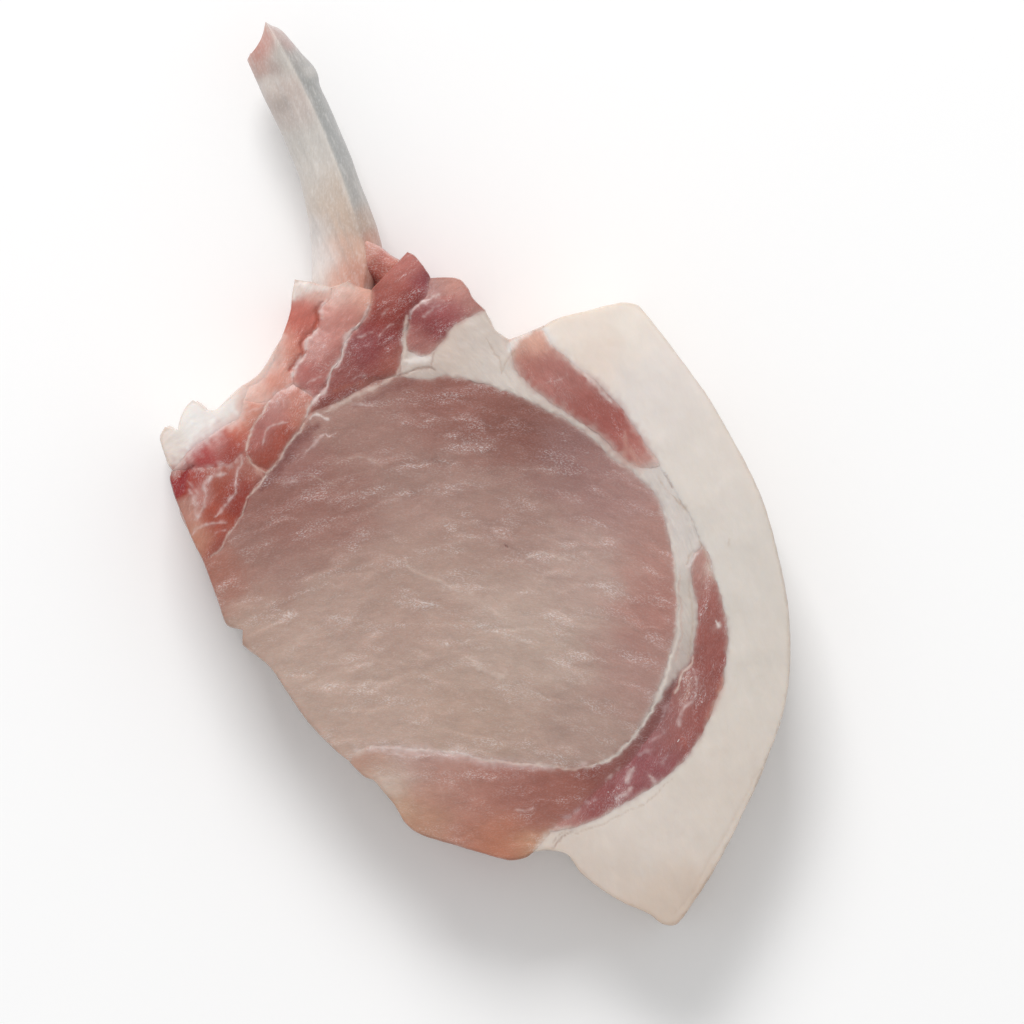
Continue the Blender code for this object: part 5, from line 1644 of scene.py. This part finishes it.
@dataclass
class Web:
    """The flap of meat that ties the rib to the blade strip.

    Attributes:
        outline: Its outline in plan, clockwise.
        top: Height of its upper face.
        thick: Its thickness.
        pit: Centre of the gap where it dips out of sight.
    """

    outline: tuple = ((-21.9, 46.4), (-20.4, 45.8), (-18.8, 44.7), (-17.2, 43.4), (-15.3, 42.3), (-13.6, 40.5),
                      (-15, 37), (-19, 34.5), (-23.5, 35), (-24.6, 38.2), (-23.3, 41.5), (-22.4, 44))
    top: float = 17.6
    thick: float = 8.5
    pit: Plan = (-21.8, 37.6)

    def build(self) -> bpy.types.Object:
        """Build the flap as one closed skin.

        Returns:
            The finished piece.
        """
        step = 0.25
        ring = Path(smooth_line(self.outline, step, closed=True), True)
        points, cap = fill_ring(ring, step, 71)
        count = len(ring.points)
        depth = ring.measure(points)[0]
        rough = GradientNoise(73)
        x, y = points.T
        dip = np.exp(-((x - self.pit[0]) ** 2 + (y - self.pit[1]) ** 2) / 3.2)
        bulge = 1.0 * (1 - np.exp(-depth / 1.2)) + 0.3 * rough(x / 2.5, y / 2.5)
        top = self.top - 1.3 + bulge - 4.0 * dip + 0.18 * (y - 40)
        base = self.top - self.thick - 0.5 * (1 - np.exp(-depth / 1.2)) + 0.3
        rows = [np.column_stack([points, top])]
        inward = ring.normal
        for share in (0.85, 0.6, 0.4, 0.15):
            out = -0.5 * math.sin(share * math.pi)
            rows.append(np.column_stack([ring.points + inward * out, base[:count] + share * (top - base)[:count]]))
        rows.append(np.column_stack([points, base]))
        starts = np.cumsum([0] + [len(r) for r in rows])
        faces = cap.tolist() + (cap[:, ::-1] + starts[-2]).tolist()
        for upper, lower in zip(starts[:-2], starts[1:-1]):
            k = np.arange(count)
            m = (k + 1) % count
            faces += np.stack([lower + k, upper + k, upper + m, lower + m], axis=1).tolist()
        vertices = np.vstack(rows)
        # The two darkest spots lie in the gap: painted shade where the flap dips out of sight.
        tone = blend_spots((Spot(-20.5, 45.4, "#c9978a", 1.4), Spot(-18, 43.2, "#b9776b", 1.8),
                            Spot(-16, 41.5, "#b5705f", 1.8), Spot(-21.3, 43, "#bd8071", 1.4),
                            Spot(-19.5, 41, "#ab6052", 1.8), Spot(-21.8, 39.6, "#8e4038", 1.6),
                            Spot(-21.2, 37.6, "#6e2620", 1.8)), vertices[:, :2])
        grain = vertices * MM
        return make_piece("rib_web_skin", vertices, faces, material_for(RED_LEAN), "rib_web", "dark_lean",
                          tone=with_alpha(tone), wet=np.full(len(vertices), 0.5), grain=grain)


# ---------------------------------------------------------------- studio

@dataclass
class Studio:
    """Pale floor, soft light and the camera straight above.

    Attributes:
        view_width: Width of the view at the chop's upper face.
        lens: Focal length of the long lens.
        centre: The view's centre in plan.
        room: Brightness of the room.
        key_place: Where the soft key light hangs, in metres.
        key_size: Its side, in metres.
        key_power: Its power, in watts.
    """

    view_width: float = 204.8
    lens: float = 300.0
    centre: Plan = (7.4, -7.9)
    room: float = 0.64
    key_place: tuple = (-0.45, 2.0, 1.7)
    key_size: float = 1.1
    key_power: float = 46.0

    def build(self) -> None:
        """Set up floor, lights, world and camera."""
        scene = bpy.context.scene
        bpy.ops.mesh.primitive_plane_add(size=4.0, location=(0.0, 0.0, -0.0004))
        floor = bpy.context.object
        floor.name = "studio_floor"
        mat = bpy.data.materials.new("pale_matt_floor")
        mat.use_nodes = True
        shader = mat.node_tree.nodes["Principled BSDF"]
        for name, value in (("Base Color", (0.95, 0.95, 0.95, 1.0)), ("Roughness", 0.9), ("Specular IOR Level", 0.1)):
            shader.inputs[name].default_value = value
        floor.data.materials.append(mat)

        world = bpy.data.worlds.new("soft_room")
        world.use_nodes = True
        world.node_tree.nodes["Background"].inputs["Color"].default_value = (1.0, 1.0, 1.0, 1.0)
        world.node_tree.nodes["Background"].inputs["Strength"].default_value = self.room
        scene.world = world
        lamp = bpy.data.lights.new("key", "AREA")
        lamp.size = self.key_size
        lamp.energy = self.key_power
        holder = bpy.data.objects.new("key", lamp)
        holder.location = self.key_place
        holder.rotation_euler = (-Vector(self.key_place)).to_track_quat("-Z", "Y").to_euler()
        scene.collection.objects.link(holder)
        scene.view_settings.view_transform = "Standard"

        lens = bpy.data.cameras.new("camera")
        lens.lens = self.lens
        lens.clip_end = 10.0
        camera = bpy.data.objects.new("camera", lens)
        distance = self.view_width * MM * self.lens / lens.sensor_width
        camera.location = (self.centre[0] * MM, self.centre[1] * MM, 0.025 + distance)
        scene.collection.objects.link(camera)
        scene.camera = camera


def main() -> None:
    """Build the chop and the studio."""
    logging.basicConfig(level=logging.INFO, format="%(message)s")
    body = Slice()
    for layer in LAYERS:
        layer.build(body)
    for strands in STRANDS:
        strands.build(body)
    Flecks("side_muscle", "dark_lean").build(body)
    Rib().build()
    Web().build()
    Studio().build()


if __name__ == "__main__":
    main()
